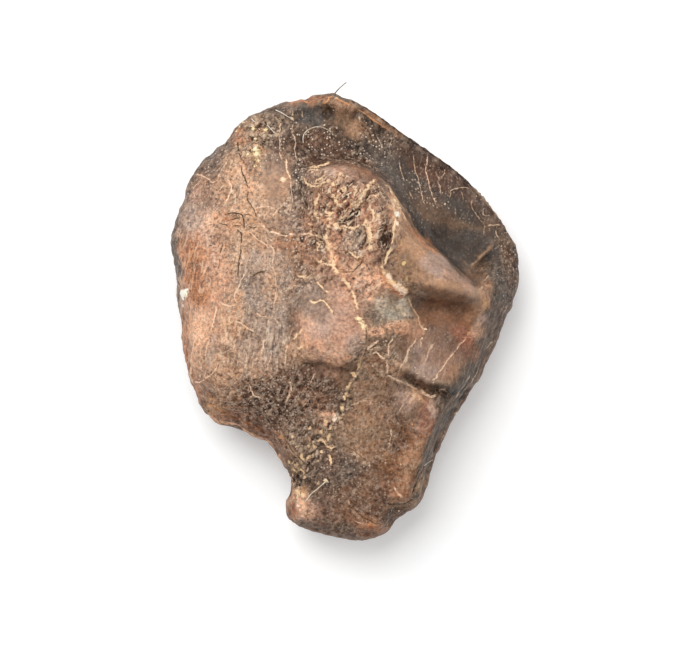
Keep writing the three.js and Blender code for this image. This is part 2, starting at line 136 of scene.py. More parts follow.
# Ribs stand up from the face, and grooves have a height below zero: height, width, route.
RIBS = [
    (-0.4, 0.25, [(1.5, -1.3), (0.6, -2.5), (0.2, -3.8), (-0.3, -5.0), (-1.1, -6.1), (-2.5, -7.5)]),
    (0.35, 0.35, [(-4.2, 9.9), (-2.4, 10.4), (-0.6, 10.6), (0.9, 10.05), (3.0, 8.55), (5.4, 6.8),
        (7.0, 5.1), (8.0, 3.5)]),
    (0.3, 0.2, [(7.5, 3.9), (6.8, 3.1), (5.9, 2.5)]),
    (0.25, 0.2, [(2.3, 5.6), (2.5, 4.3), (2.0, 2.7), (2.6, 1.7), (3.2, 0.8)]),
    (-0.35, 0.25, [(-2.9, -7.9), (-2.1, -8.1), (-1.4, -8.2)]),
    (-0.35, 0.5, [(6.2, 0.2), (4.8, 0.55), (3.4, 0.7)]),
]

# Lumps and dents: x, y, radius along X, radius along Y, height.
LUMPS = [
    (-1.9, -9.0, 0.8, 0.9, 0.25), (0.3, 10.0, 0.35, 0.3, -0.3), (1.15, 9.75, 0.3, 0.35, -0.35),
    (1.9, 9.3, 0.35, 0.4, -0.3), (-5.1, 9.0, 0.8, 0.6, -0.3), (-5.6, 1.5, 2.6, 4.0, 0.25),
]

# Turns the boss's grain, which rises 50 degrees above +X, to Y and draws it out to twice its length.
BOSS_GRAIN = np.array([(0.77, 0.32, 0), (-0.64, 0.385, 0), (0, 0, 1)])

# Broad hollows of the underside, in the same form as the lumps.
UNDER_HOLLOWS = [(0.4, -7.5, 1.6, 2.6, 0.9), (-1.5, 3.0, 3.0, 2.6, 0.5)]

# ---------------------------------------------------------------- small form, too fine for the solid

# Small ledges, ribs and lumps, in the same forms as the large ones above.
SMALL_LEDGES = [
    # growth layers that crop out on the shelf
    (0.14, 0.05, 0.45, None, [(2.6, -2.8), (2.85, -2.1), (3.2, -1.3), (3.4, -0.9)]),
    (0.16, 0.05, 0.5, None, [(4.2, -3.1), (4.7, -2.3), (5.3, -1.5), (5.6, -1.1), (6.1, -0.7)]),
    (0.1, 0.05, 0.4, None, [(3.4, -2.9), (3.7, -2.1), (4.2, -1.5), (4.6, -1.2)]),
    # broken layers across the boss
    (0.3, 0.07, 0.45, None, [(1.5, 6.6), (1.2, 6.2), (0.95, 5.85), (0.6, 5.5), (0.3, 5.1), (0.0, 4.7),
        (-0.6, 4.2)]),
    (0.22, 0.07, 0.4, None, [(1.1, 2.8), (1.2, 3.4), (1.15, 4.0), (1.1, 4.7)]),
    (0.2, 0.07, 0.35, None, [(2.0, 3.0), (2.1, 3.6), (2.1, 4.4), (1.9, 5.0)]),
    (0.2, 0.07, 0.4, None, [(-0.45, 6.35), (-0.3, 6.7), (-0.2, 7.1)]),
    (0.25, 0.08, 0.4, None, [(-2.1, 6.7), (-1.8, 6.45), (-1.3, 6.5), (-0.8, 6.7), (-0.5, 6.85)]),
    (0.25, 0.08, 0.5, None, [(-0.7, 3.1), (-0.8, 3.6), (-1.2, 4.0), (-1.5, 4.3)]),
    # broken foot of the smooth patch
    (0.3, 0.06, 0.4, None, [(0.8, -1.7), (0.1, -2.2), (-0.5, -2.3), (-1.3, -2.1), (-2.3, -1.95),
        (-2.7, -1.6)]),
    # sharp edges of the flank, above and below
    (0.5, 0.06, 0.3, None, [(2.2, 6.2), (2.6, 5.5), (3.0, 4.85), (3.4, 4.3), (4.0, 3.75), (4.5, 3.25),
        (5.1, 2.7), (5.7, 2.15), (6.3, 1.65)]),
    (0.5, 0.06, 0.35, None, [(6.3, 1.0), (5.6, 1.05), (4.9, 1.15), (4.3, 1.3), (3.7, 1.45), (3.1, 1.6)]),
    # step that ends the root's tan ridge
    (0.35, 0.06, 0.4, None, [(3.2, -9.0), (2.5, -9.15), (1.95, -9.05)]),
    # scab of enamel that has popped off the lobe
    (0.14, 0.05, 0.5, None, [(-4.95, 4.35), (-5.05, 4.95), (-5.5, 5.1), (-6.0, 4.85), (-6.3, 4.6)]),
    # torn edges at the chipped corner
    (0.3, 0.06, 0.5, None, [(-5.9, 8.3), (-5.3, 8.3), (-4.6, 8.6), (-4.1, 8.4), (-3.9, 9.0),
        (-3.4, 9.5)]),
    # split along the side strip of the root
    (0.3, 0.07, 0.4, None, [(4.9, -4.5), (4.35, -5.3), (4.15, -5.9), (3.8, -6.9), (3.75, -7.6)]),
]

SMALL_RIBS = [
    # under the broken lip, a deep gap
    (-0.3, 0.2, [(2.6, -2.8), (3.2, -3.1), (3.8, -3.35), (4.5, -3.55), (5.1, -3.65), (5.7, -3.55)]),
    # crumbly sediment that fills the seam
    (0.34, 0.25, [(1.5, -1.3), (0.6, -2.5), (0.2, -3.8), (-0.3, -5.0), (-1.1, -6.1), (-2.5, -7.5)]),
    # narrow open part of the seam
    (-0.16, 0.07, [(0.95, -1.5), (0.75, -1.9), (0.5, -2.5), (0.25, -2.9), (0.1, -3.4), (-0.1, -3.9)]),
    # ridge across the trough, worn thin
    (-0.24, 0.22, [(7.5, 3.7), (6.9, 3.0), (6.0, 2.4)]),
    (0.18, 0.09, [(7.45, 3.85), (7.0, 3.35), (6.5, 2.9), (5.95, 2.4)]),
    # crease in the root
    (0.1, 0.09, [(0.05, -6.2), (0.5, -6.55), (1.0, -6.95)]),
    (-0.1, 0.08, [(0.0, -6.35), (0.45, -6.72), (0.9, -7.1)]),
    # vein that stands out along the boss keel and down to the shelf
    (0.05, 0.08, [(2.3, 4.9), (2.25, 4.0), (2.05, 3.3), (1.85, 2.5)]),
    # furrows and ridges across the boss
    (-0.2, 0.14, [(1.9, 4.6), (1.88, 4.0), (1.85, 3.2), (1.95, 2.8)]),
    (-0.18, 0.12, [(1.35, 6.4), (1.0, 5.8), (0.7, 5.4)]),
    (-0.15, 0.2, [(-0.9, 6.1), (-1.3, 5.6), (-1.5, 5.0)]),
    (0.12, 0.12, [(-1.55, 6.0), (-1.45, 5.5), (-1.4, 5.0)]),
    (0.1, 0.09, [(-1.8, 6.85), (-1.4, 6.95), (-0.9, 7.2)]),
    (0.1, 0.09, [(-1.6, 6.55), (-1.1, 6.8), (-0.8, 6.95)]),
    (0.12, 0.1, [(-0.2, 7.1), (-0.3, 6.7), (-0.4, 6.3)]),
    (-0.15, 0.2, [(0.7, 5.1), (0.4, 4.9), (0.0, 4.5)]),
    (0.12, 0.12, [(1.0, 4.8), (1.1, 4.2), (1.15, 3.6), (1.2, 3.0)]),
]

SMALL_LUMPS = [
    # gaps between the rim denticles
    (0.57, 10.2, 0.2, 0.22, -0.22), (1.02, 9.95, 0.16, 0.2, -0.2), (1.77, 9.4, 0.2, 0.22, -0.2),
    (-0.9, 10.2, 0.3, 0.4, -0.25),
    # lost chip under the shelf lip
    (4.9, -3.7, 0.42, 0.2, 0.3),
    # holes and dents
    (-4.2, 2.2, 0.3, 0.12, -0.08), (4.85, -5.85, 0.12, 0.2, -0.25), (-5.75, 9.0, 0.22, 0.3, -0.25),
    (-5.2, 4.7, 0.5, 0.25, -0.08), (0.3, 5.4, 0.3, 0.5, -0.12), (-0.7, 3.0, 0.5, 0.3, -0.1),
    (-2.1, -9.6, 0.3, 0.3, 0.06), (-2.1, -8.8, 0.35, 0.2, 0.08), (2.6, -5.4, 0.12, 0.18, 0.07),
    (-4.4, 8.1, 0.15, 0.35, 0.12), (-3.9, 8.9, 0.15, 0.3, 0.1),
]

# Open cracks and dark marks: half width, strength and route.
CRACKS = [
    # lobe
    (0.045, 1.0, [(-5.4, 8.75), (-5.36, 8.48), (-5.28, 8.2)]),
    (0.03, 0.9, [(-5.26, 8.15), (-5.2, 7.95), (-5.1, 7.68)]),
    (0.035, 1.0, [(-5.12, 7.5), (-5.1, 7.3), (-5.05, 7.05), (-4.9, 6.8), (-4.75, 6.4)]),
    (0.026, 0.8, [(-4.75, 6.3), (-4.8, 5.85), (-4.65, 5.55), (-4.4, 5.15), (-4.3, 4.9)]),
    (0.04, 1.0, [(-5.8, 5.05), (-5.5, 5.1), (-5.1, 5.05), (-5.0, 4.8), (-4.95, 4.45), (-5.05, 4.3)]),
    (0.03, 0.8, [(-5.65, 4.8), (-5.35, 4.9), (-5.1, 4.88)]), (0.026, 0.8, [(-5.5, 4.55), (-5.05, 4.5)]),
    (0.026, 0.7, [(-6.25, 4.65), (-5.9, 4.55), (-5.65, 4.62)]),
    (0.035, 0.9, [(-5.3, 4.35), (-5.1, 4.15), (-5.1, 3.95), (-5.0, 3.65)]),
    (0.035, 1.0, [(-5.05, 3.55), (-5.1, 3.15), (-5.2, 2.75), (-5.2, 2.3), (-5.2, 1.9)]),
    (0.035, 1.0, [(-6.0, 3.65), (-6.05, 3.4), (-6.1, 3.15)]), (0.02, 0.6, [(-6.1, 2.95), (-6.2, 2.35)]),
    (0.03, 0.8, [(-4.75, 4.5), (-4.5, 4.4), (-4.3, 4.5)]), (0.022, 0.7, [(-5.0, 5.05), (-4.5, 5.05)]),
    (0.035, 0.8, [(-4.5, 2.05), (-4.3, 2.2), (-4.1, 2.25), (-3.85, 2.22)]),
    (0.05, 1.0, [(-8.35, 1.9), (-8.2, 1.65), (-8.1, 1.5)]),
    # furrow that runs down from the rim denticles
    (0.05, 0.7, [(0.75, 9.65), (0.9, 9.5), (1.1, 9.3), (1.25, 8.95), (1.35, 8.6)]),
    # boss: furrows and pits
    (0.03, 0.8, [(1.0, -1.3), (0.85, -1.75), (0.68, -2.1)]),
    (0.03, 0.8, [(-0.3, 2.3), (0.0, 2.22), (0.3, 2.25), (0.6, 2.5), (0.75, 2.8)]),
    (0.03, 0.7, [(-2.15, 6.8), (-2.0, 6.5)]), (0.035, 0.7, [(0.9, -0.45), (0.97, -0.8), (1.0, -1.2)]),
    # root: creases, the split beside the strip and the notch at its end
    (0.03, 0.7, [(0.1, -6.25), (0.45, -6.5), (0.75, -6.7), (1.0, -6.95)]),
    (0.035, 0.6, [(0.05, -9.15), (0.45, -9.4), (0.8, -9.75), (1.3, -10.0), (1.7, -10.1)]),
    (0.05, 0.9, [(3.95, -7.2), (3.6, -7.75), (3.35, -8.3), (3.2, -8.6)]),
    (0.055, 1.0, [(1.95, -9.1), (2.4, -9.08), (2.75, -9.12), (3.1, -9.0), (3.3, -8.85)]),
    (0.06, 1.0, [(4.87, -5.6), (4.92, -5.85)]), (0.03, 0.8, [(4.9, -5.2), (4.88, -5.4)]),
    (0.04, 0.6, [(5.3, -3.75), (4.9, -4.35), (4.65, -4.8), (4.4, -5.4), (4.2, -5.9), (4.05, -6.5)]),
    # slope and seam
    (0.03, 0.9, [(-2.95, -6.0), (-2.7, -6.45), (-2.4, -6.75), (-2.05, -7.05)]),
    (0.06, 0.7, [(-2.9, -7.3), (-2.75, -7.75)]), (0.025, 0.6, [(-0.3, -4.6), (-0.6, -5.2), (-1.0, -5.8)]),
]

# Cracks that minerals have healed, by the pigment of their filling: half width, strength and route.
VEINS = {
    "pale_vein": [
        # lobe
        (0.03, 0.8, [(-7.45, 7.2), (-7.15, 7.0), (-6.75, 6.85), (-6.55, 6.63), (-6.3, 6.8),
            (-6.2, 7.15)]),
        (0.026, 0.6, [(-6.2, 7.15), (-6.0, 7.45), (-5.8, 7.7), (-5.9, 7.95)]),
        (0.028, 0.8, [(-7.6, 6.35), (-7.35, 6.65), (-7.2, 6.8)]),
        (0.028, 0.6, [(-7.5, 6.2), (-7.4, 5.9)]),
        (0.038, 1.0, [(-5.8, 6.85), (-5.6, 6.6), (-5.6, 6.15), (-5.7, 6.0), (-5.9, 5.7)]),
        (0.026, 0.7, [(-6.15, 6.2), (-6.0, 6.45), (-5.8, 6.5)]),
        (0.026, 0.8, [(-5.4, 6.2), (-5.35, 5.8), (-5.35, 5.35)]),
        (0.03, 0.8, [(-4.5, 5.25), (-4.35, 5.4), (-4.0, 5.42), (-3.7, 5.45), (-3.35, 5.33), (-3.1, 5.5)]),
        (0.028, 0.7, [(-3.75, 5.3), (-3.9, 5.05), (-4.0, 4.85)]),
        (0.028, 0.7, [(-3.3, 5.35), (-3.45, 5.1), (-3.6, 4.85)]),
        (0.026, 0.6, [(-5.95, 8.35), (-5.85, 8.15)]),
        (0.055, 1.0, [(-4.05, 4.55), (-3.85, 4.25), (-3.6, 4.17), (-3.1, 4.08), (-2.7, 4.08),
            (-2.45, 4.1)]),
        (0.05, 1.0, [(-2.35, 4.12), (-1.8, 4.1), (-1.5, 4.05), (-1.3, 4.0)]),
        (0.034, 0.9, [(-4.8, 4.25), (-4.4, 3.95), (-4.05, 3.75), (-3.75, 3.5)]),
        (0.028, 0.7, [(-3.75, 3.9), (-3.55, 3.7)]),
        (0.034, 0.9, [(-3.65, 3.55), (-3.5, 3.25), (-3.6, 2.65)]),
        (0.026, 0.7, [(-3.6, 2.55), (-3.4, 2.0), (-3.35, 1.5), (-3.5, 0.65), (-3.5, 0.2)]),
        (0.036, 1.0, [(-3.5, 0.15), (-3.68, -0.1), (-3.75, -0.35)]),
        (0.03, 0.9, [(-4.35, 0.3), (-4.15, 0.1), (-3.9, 0.1), (-3.7, -0.08)]),
        (0.028, 0.8, [(-3.45, 0.0), (-3.2, -0.3)]), (0.026, 0.5, [(-4.0, 3.15), (-3.85, 2.8)]),
        (0.034, 0.9, [(-5.65, 0.15), (-5.6, -0.15), (-5.4, -0.1), (-5.05, -0.25), (-4.7, -0.5),
            (-4.4, -0.7)]),
        (0.03, 0.9, [(-4.85, 2.25), (-5.05, 1.85), (-5.1, 1.6), (-5.3, 1.25), (-5.35, 1.0), (-5.3, 0.8)]),
        (0.034, 1.0, [(-5.3, 0.75), (-5.45, 0.6), (-5.8, 0.65), (-6.15, 0.8)]),
        (0.03, 0.8, [(-5.9, 1.55), (-5.8, 1.25)]),
        (0.045, 1.0, [(-6.3, 0.65), (-6.35, 0.15), (-6.45, -0.25), (-6.55, -0.65)]),
        (0.028, 0.8, [(-7.15, -0.55), (-7.4, -1.2), (-7.6, -2.05), (-7.67, -2.6), (-7.55, -3.25)]),
        (0.028, 0.7, [(-6.65, -0.95), (-6.8, -1.6), (-6.85, -2.05)]),
        (0.024, 0.6, [(-7.05, -2.1), (-7.15, -2.9)]),
        (0.034, 0.8, [(-5.8, -0.6), (-5.77, -0.9), (-5.95, -1.2)]),
        (0.024, 0.6, [(-6.9, -2.45), (-6.9, -2.9)]),
        (0.03, 0.9, [(-7.5, -3.13), (-7.1, -3.05), (-6.8, -2.87), (-6.5, -2.67), (-6.3, -2.45),
            (-6.1, -2.15)]),
        (0.036, 0.9, [(-3.9, -1.0), (-4.0, -1.25), (-4.1, -1.75)]),
        (0.026, 0.7, [(-4.25, -1.8), (-4.4, -2.1), (-4.55, -2.45)]),
        (0.032, 0.7, [(-2.8, -1.15), (-2.9, -1.8), (-3.0, -2.35)]),
        (0.026, 0.6, [(-3.55, -1.5), (-3.7, -1.95), (-3.8, -2.55)]),
        (0.026, 0.6, [(-4.8, -1.6), (-4.85, -2.2)]), (0.026, 0.6, [(-5.3, -2.0), (-5.25, -2.4)]),
        (0.026, 0.6, [(-3.3, -1.9), (-3.35, -2.5)]), (0.026, 0.5, [(-4.9, 0.6), (-4.95, 0.1)]),
        (0.026, 0.5, [(-4.6, -0.9), (-4.65, -1.4)]), (0.026, 0.5, [(-5.35, -1.0), (-5.4, -1.6)]),
        # brown shoulder of the lobe, down to the valley
        (0.03, 0.8, [(-3.2, 9.6), (-3.3, 9.2), (-3.25, 8.75), (-3.2, 8.0), (-3.1, 7.85)]),
        (0.04, 1.0, [(-2.9, 7.85), (-2.94, 7.4), (-2.9, 7.15), (-2.72, 6.75)]),
        (0.028, 0.8, [(-2.72, 6.7), (-2.65, 6.3), (-2.6, 5.85), (-2.6, 5.5)]),
        (0.028, 0.7, [(-2.62, 9.6), (-2.66, 9.2), (-2.5, 8.75), (-2.5, 8.15), (-2.4, 7.75)]),
        (0.036, 0.8, [(-2.6, 10.25), (-2.68, 9.95)]), (0.034, 0.5, [(-2.14, 10.3), (-2.2, 9.9)]),
        # rim and trough
        (0.036, 0.75, [(0.67, 10.05), (0.67, 9.72)]),
        (0.024, 0.45, [(1.45, 9.25), (1.6, 8.9), (1.7, 8.6), (1.75, 8.3)]),
        (0.02, 0.45, [(2.35, 9.1), (2.15, 8.7), (2.2, 8.1)]),
        (0.021, 0.6, [(2.65, 7.8), (2.75, 7.3), (2.9, 6.8)]),
        (0.022, 0.68, [(3.35, 8.1), (3.45, 7.5), (3.6, 6.9), (3.7, 6.2), (3.85, 5.6)]),
        (0.024, 0.75, [(4.05, 8.15), (4.0, 7.6), (4.05, 7.1), (4.2, 6.4), (4.45, 5.6)]),
        (0.02, 0.52, [(4.45, 7.3), (4.6, 6.8), (4.7, 6.2)]),
        (0.022, 0.6, [(4.95, 7.5), (4.8, 7.1), (4.6, 6.8)]),
        (0.022, 0.6, [(6.15, 6.5), (5.8, 6.55), (5.45, 6.45), (5.2, 6.3), (5.15, 6.0)]),
        (0.02, 0.45, [(5.75, 6.3), (5.85, 5.8)]),
        (0.021, 0.52, [(6.2, 6.0), (6.25, 5.55), (6.55, 5.1), (6.85, 4.75)]),
        (0.02, 0.45, [(6.9, 4.7), (6.85, 4.2)]),
        (0.022, 0.6, [(6.95, 5.5), (6.75, 5.45), (6.85, 5.15), (7.15, 5.2)]),
        (0.027, 0.68, [(7.05, 4.6), (7.3, 4.7), (7.75, 4.75)]),
        (0.022, 0.6, [(7.5, 4.5), (7.45, 4.25), (7.65, 4.05)]), (0.02, 0.45, [(5.4, 5.6), (5.45, 5.1)]),
        (0.02, 0.45, [(3.1, 6.3), (3.3, 5.9)]),
        # branch of the seam over the shelf and its lip
        (0.055, 0.9, [(0.95, -1.5), (1.2, -1.3), (1.4, -1.17), (1.6, -1.05)]),
        (0.05, 0.9, [(1.15, -1.7), (1.45, -1.63), (1.7, -1.9), (1.9, -1.92)]),
        (0.045, 0.9, [(1.92, -2.0), (1.97, -2.45), (1.9, -2.7)]),
        (0.05, 0.9, [(1.95, -2.72), (2.4, -2.93), (2.85, -3.08)]),
        (0.045, 0.9, [(2.9, -3.1), (3.3, -3.38), (3.5, -3.43)]),
        (0.06, 1.0, [(3.6, -3.47), (3.85, -3.67), (4.1, -3.8), (4.5, -3.8)]),
        (0.04, 0.8, [(2.3, -0.9), (2.1, -1.2), (2.05, -1.5), (2.0, -1.8)]),
        (0.03, 0.6, [(3.62, -0.95), (3.65, -1.45)]),
        (0.034, 0.6, [(3.45, -0.95), (3.2, -1.25), (3.0, -1.65), (2.7, -2.25), (2.5, -2.8)]),
        (0.03, 0.5, [(4.35, -1.15), (4.0, -1.7), (3.8, -2.1)]),
        (0.03, 0.7, [(5.9, -0.9), (5.6, -1.2), (5.3, -1.55), (5.0, -1.87), (4.75, -2.2), (4.35, -2.8),
            (4.2, -3.05)]),
        (0.04, 0.7, [(4.5, -3.47), (4.75, -3.43), (5.0, -3.58)]),
        (0.026, 0.6, [(6.65, 1.75), (6.85, 1.97), (7.0, 2.15)]), (0.024, 0.6, [(6.3, 1.35), (6.7, 1.55)]),
        # slope
        (0.04, 0.8, [(-2.74, -3.05), (-2.66, -3.3), (-2.75, -3.65), (-2.9, -4.0), (-2.95, -4.4)]),
        (0.04, 0.8, [(-4.75, -3.15), (-4.5, -3.7), (-4.1, -3.9)]),
        (0.03, 0.5, [(-3.8, -2.6), (-3.5, -3.0)]),
        (0.036, 0.7, [(-1.43, -2.55), (-1.6, -2.85), (-1.75, -3.1)]),
        (0.034, 0.7, [(-1.9, -4.05), (-2.1, -4.3)]),
        # root
        (0.03, 0.4, [(0.15, -4.2), (0.7, -4.07), (1.3, -4.0)]),
        (0.035, 0.6, [(2.25, -5.35), (2.2, -5.6), (2.15, -6.0)]),
        (0.03, 0.5, [(2.75, -4.15), (2.6, -4.55)]),
        (0.06, 0.8, [(0.25, -6.55), (0.5, -6.67), (0.7, -6.78)]),
        (0.045, 0.9, [(1.1, -7.2), (1.17, -7.12)]),
        (0.05, 0.7, [(2.35, -8.2), (2.5, -8.45), (2.7, -8.7)]),
        (0.03, 0.5, [(0.05, -8.85), (0.25, -9.15)]), (0.03, 0.5, [(0.35, -9.9), (0.8, -10.1)]),
        (0.026, 0.5, [(5.3, -3.9), (5.8, -3.2), (6.1, -2.7)]),
        (0.022, 0.45, [(5.6, -3.9), (6.1, -3.2), (6.6, -2.4)]), (0.03, 0.6, [(7.0, -1.5), (7.3, -1.1)]),
        (0.03, 0.6, [(4.9, -6.0), (4.95, -5.6)]),
    ],
    "boss_mineral": [
        # boss
        (0.046, 1.0, [(-1.8, 7.3), (-1.3, 7.42), (-0.8, 7.6)]),
        (0.052, 1.0, [(-2.1, 6.9), (-2.05, 6.7), (-1.9, 6.5), (-1.6, 6.4), (-1.15, 6.45), (-0.75, 6.65)]),
        (0.058, 1.0, [(-1.6, 6.6), (-1.3, 6.7), (-0.95, 6.9)]),
        (0.039, 1.0, [(-1.75, 7.05), (-1.5, 7.17), (-1.3, 7.2)]),
        (0.072, 1.0, [(-0.2, 7.0), (-0.3, 6.8), (-0.4, 6.45)]),
        (0.065, 1.0, [(-0.7, 6.3), (-0.55, 6.4), (-0.65, 6.5)]),
        (0.065, 1.0, [(1.4, 6.65), (1.15, 6.35), (0.95, 6.05), (0.75, 5.8)]),
        (0.104, 1.0, [(0.7, 5.75), (0.5, 5.4), (0.4, 5.25)]),
        (0.046, 1.0, [(1.8, 6.45), (2.1, 6.35), (2.2, 5.9)]),
        (0.078, 1.0, [(-0.6, 5.5), (-0.45, 5.6), (-0.3, 5.35)]),
        (0.104, 1.0, [(-0.85, 4.7), (-0.65, 4.85)]), (0.078, 1.0, [(-1.43, 5.15), (-1.42, 4.85)]),
        (0.078, 1.0, [(0.25, 5.55), (0.3, 5.25)]),
        (0.065, 1.0, [(-0.45, 4.3), (0.0, 4.4), (0.35, 4.27), (0.7, 4.4)]),
        (0.058, 1.0, [(0.75, 4.4), (0.95, 4.55), (1.0, 4.8)]),
        (0.104, 1.0, [(1.05, 4.6), (1.15, 4.1), (1.15, 3.6), (1.25, 3.2)]),
        (0.052, 1.0, [(-1.85, 4.15), (-1.5, 4.05), (-1.15, 3.9), (-0.9, 3.77)]),
        (0.104, 1.0, [(-0.95, 4.1), (-0.85, 3.6), (-0.75, 3.2)]),
        (0.091, 1.0, [(-0.72, 3.1), (-0.6, 2.6), (-0.45, 2.1)]),
        (0.039, 1.0, [(-1.95, 4.7), (-1.65, 4.55), (-1.5, 4.6)]),
        (0.039, 1.0, [(-1.5, 3.7), (-1.3, 3.55), (-1.4, 3.3), (-1.2, 3.25)]),
        (0.046, 1.0, [(1.25, 5.8), (1.4, 5.75), (1.5, 5.6)]), (0.052, 1.0, [(1.25, 5.0), (1.4, 4.7)]),
        (0.078, 1.0, [(-0.25, 2.0), (0.05, 1.65), (0.2, 1.4)]),
        (0.065, 1.0, [(0.25, 1.35), (0.4, 1.0), (0.5, 0.65), (0.6, 0.4)]),
        (0.13, 1.0, [(0.45, 0.15), (0.7, -0.1), (0.8, -0.3), (0.8, -0.6)]),
        (0.035, 0.5, [(2.95, 1.0), (3.15, 0.6), (3.45, 0.1), (3.6, -0.3), (3.8, -0.65)]),
        (0.052, 1.0, [(-2.4, 2.05), (-2.1, 2.0), (-1.75, 2.02)]),
        (0.039, 1.0, [(-1.75, 0.85), (-1.45, 0.75), (-1.15, 0.9), (-0.8, 0.55), (-0.65, 0.2)]),
        (0.052, 1.0, [(-1.4, 2.8), (-0.95, 2.6), (-0.6, 2.5)]),
        (0.039, 1.0, [(-1.45, 1.8), (-1.15, 1.45), (-0.8, 1.2)]),
        (0.065, 1.0, [(0.1, 3.2), (0.55, 2.95), (0.8, 3.08)]),
        (0.058, 1.0, [(2.4, 4.75), (2.25, 4.2), (2.15, 3.5)]),
        (0.065, 1.0, [(2.13, 3.4), (2.0, 3.0), (1.8, 2.5)]), (0.065, 1.0, [(2.45, 5.35), (2.55, 5.15)]),
        (0.13, 1.0, [(1.75, 2.35), (1.9, 2.15)]),
        (0.058, 1.0, [(-2.55, -1.0), (-2.35, -0.75), (-2.05, -0.45)]),
        (0.065, 1.0, [(-2.35, -1.5), (-2.1, -1.3)]),
        (0.07, 1.0, [(-1.2, 6.05), (-1.4, 5.75), (-1.5, 5.4)]),
        (0.06, 1.0, [(-1.5, 5.3), (-1.45, 4.95), (-1.25, 4.75)]),
        (0.07, 1.0, [(-0.95, 5.15), (-0.7, 5.0), (-0.5, 5.1)]),
        (0.06, 1.0, [(-0.35, 4.95), (-0.15, 4.8), (0.1, 4.95)]),
        (0.06, 1.0, [(-0.9, 4.45), (-0.7, 4.35)]), (0.06, 1.0, [(0.3, 6.35), (0.45, 6.1), (0.3, 5.9)]),
        (0.06, 1.0, [(-0.75, 5.75), (-0.55, 5.95)]), (0.06, 1.0, [(1.2, 5.2), (1.35, 4.9), (1.3, 4.6)]),
        (0.05, 1.0, [(1.5, 5.0), (1.6, 4.7)]), (0.06, 1.0, [(-0.15, 5.5), (0.05, 5.6)]),
    ],
    "rose_calcite": [
        (0.1, 1.0, [(-1.25, -4.72), (-0.98, -4.6), (-0.8, -4.75)]),
        (0.09, 1.0, [(-1.15, -5.1), (-0.9, -5.2)]), (0.08, 1.0, [(-1.5, -5.6), (-1.35, -5.4)]),
        (0.07, 1.0, [(-1.9, -5.85), (-1.75, -6.0)]),
        # bright line along the notch's outline, a painted rim highlight
        (0.045, 0.9, [(-6.85, -4.72), (-6.5, -4.98), (-6.0, -5.16), (-5.3, -5.33), (-4.6, -5.72),
            (-3.95, -6.2), (-3.4, -6.8), (-3.12, -7.2)]),
    ],
    "rust_vein": [
        (0.035, 0.9, [(-4.85, 4.75), (-4.5, 4.7), (-4.2, 4.55)]),
        (0.04, 0.9, [(-7.4, 3.4), (-7.6, 3.0), (-7.75, 2.6), (-7.95, 1.75)]),
        (0.03, 0.7, [(-7.0, 3.7), (-7.1, 3.25), (-7.3, 2.75)]),
        (0.03, 0.7, [(-6.6, 3.45), (-6.75, 3.05), (-6.85, 2.75)]),
        (0.03, 0.7, [(-7.4, 2.3), (-7.55, 1.8), (-7.6, 1.35)]), (0.03, 0.7, [(-6.9, 2.3), (-7.05, 1.95)]),
        (0.045, 0.9, [(-6.4, 1.8), (-6.55, 1.4), (-6.75, 1.05), (-7.1, 0.5)]),
        (0.035, 0.8, [(-7.4, 1.2), (-7.1, 1.1), (-6.8, 1.2)]),
        (0.03, 0.6, [(-7.9, 0.3), (-7.95, -0.4), (-7.9, -1.0)]),
        (0.03, 0.6, [(-7.55, 0.2), (-7.6, -0.3)]), (0.03, 0.6, [(-5.05, 1.3), (-5.15, 1.0), (-5.2, 0.6)]),
        # rim
        (0.045, 1.0, [(-2.75, 10.6), (-2.4, 10.7), (-2.2, 10.73), (-1.85, 10.6)]),
        (0.055, 1.0, [(-1.2, 10.62), (-1.0, 10.66), (-0.75, 10.88), (-0.6, 11.0)]),
        (0.05, 0.9, [(-0.45, 10.78), (-0.15, 10.65), (0.2, 10.52)]),
        (0.04, 0.8, [(0.5, 10.4), (0.8, 10.25), (1.1, 10.05), (1.5, 9.75), (1.9, 9.5), (2.2, 9.3)]),
        # boss, flank and shelf
        (0.05, 0.8, [(5.9, -0.8), (6.1, -0.62)]),
        (0.09, 0.8, [(-3.35, -5.8), (-3.15, -5.8), (-3.05, -6.0)]),
        (0.05, 0.6, [(-6.65, -4.93), (-6.45, -5.1), (-5.9, -5.2)]),
    ],
    "cream": [
        (0.08, 1.0, [(1.6, 2.55), (1.8, 2.3), (1.95, 2.1)]),
        # seam
        (0.062, 1.0, [(0.85, -1.75), (0.65, -2.2), (0.5, -2.5)]),
        (0.088, 1.0, [(0.3, -3.0), (0.1, -3.3), (0.0, -3.5)]),
        (0.075, 1.0, [(-0.15, -4.1), (-0.25, -4.3), (-0.1, -4.4)]),
        (0.1, 1.0, [(-0.72, -5.2), (-0.75, -5.45)]), (0.062, 1.0, [(-0.38, -4.7), (-0.15, -4.85)]),
        (0.062, 1.0, [(-0.75, -5.6), (-0.9, -5.85), (-0.75, -6.0)]),
        (0.056, 1.0, [(-1.4, -6.0), (-1.15, -5.95), (-0.8, -6.3), (-0.5, -6.2)]),
        (0.062, 1.0, [(-1.6, -6.1), (-1.55, -6.4)]),
        (0.062, 1.0, [(-2.15, -6.55), (-2.2, -6.85), (-2.0, -6.9)]),
        (0.062, 1.0, [(-2.0, -6.95), (-1.7, -6.65)]),
        (0.05, 1.0, [(-2.75, -7.4), (-2.5, -7.6), (-2.2, -7.4), (-2.05, -7.6)]),
        (0.05, 1.0, [(-2.9, -7.0), (-2.75, -7.2)]),
        (0.05, 1.0, [(-0.85, -6.6), (-0.8, -6.9), (-0.7, -7.2)]),
        (0.062, 1.0, [(-1.45, -8.05), (-1.3, -8.05)]), (0.08, 1.0, [(0.05, -3.55), (-0.05, -3.75)]),
        (0.09, 0.8, [(-1.15, -5.35), (-1.35, -5.65)]), (0.07, 0.8, [(-2.45, -7.15), (-2.6, -7.35)]),
    ],
    "sulphur": [
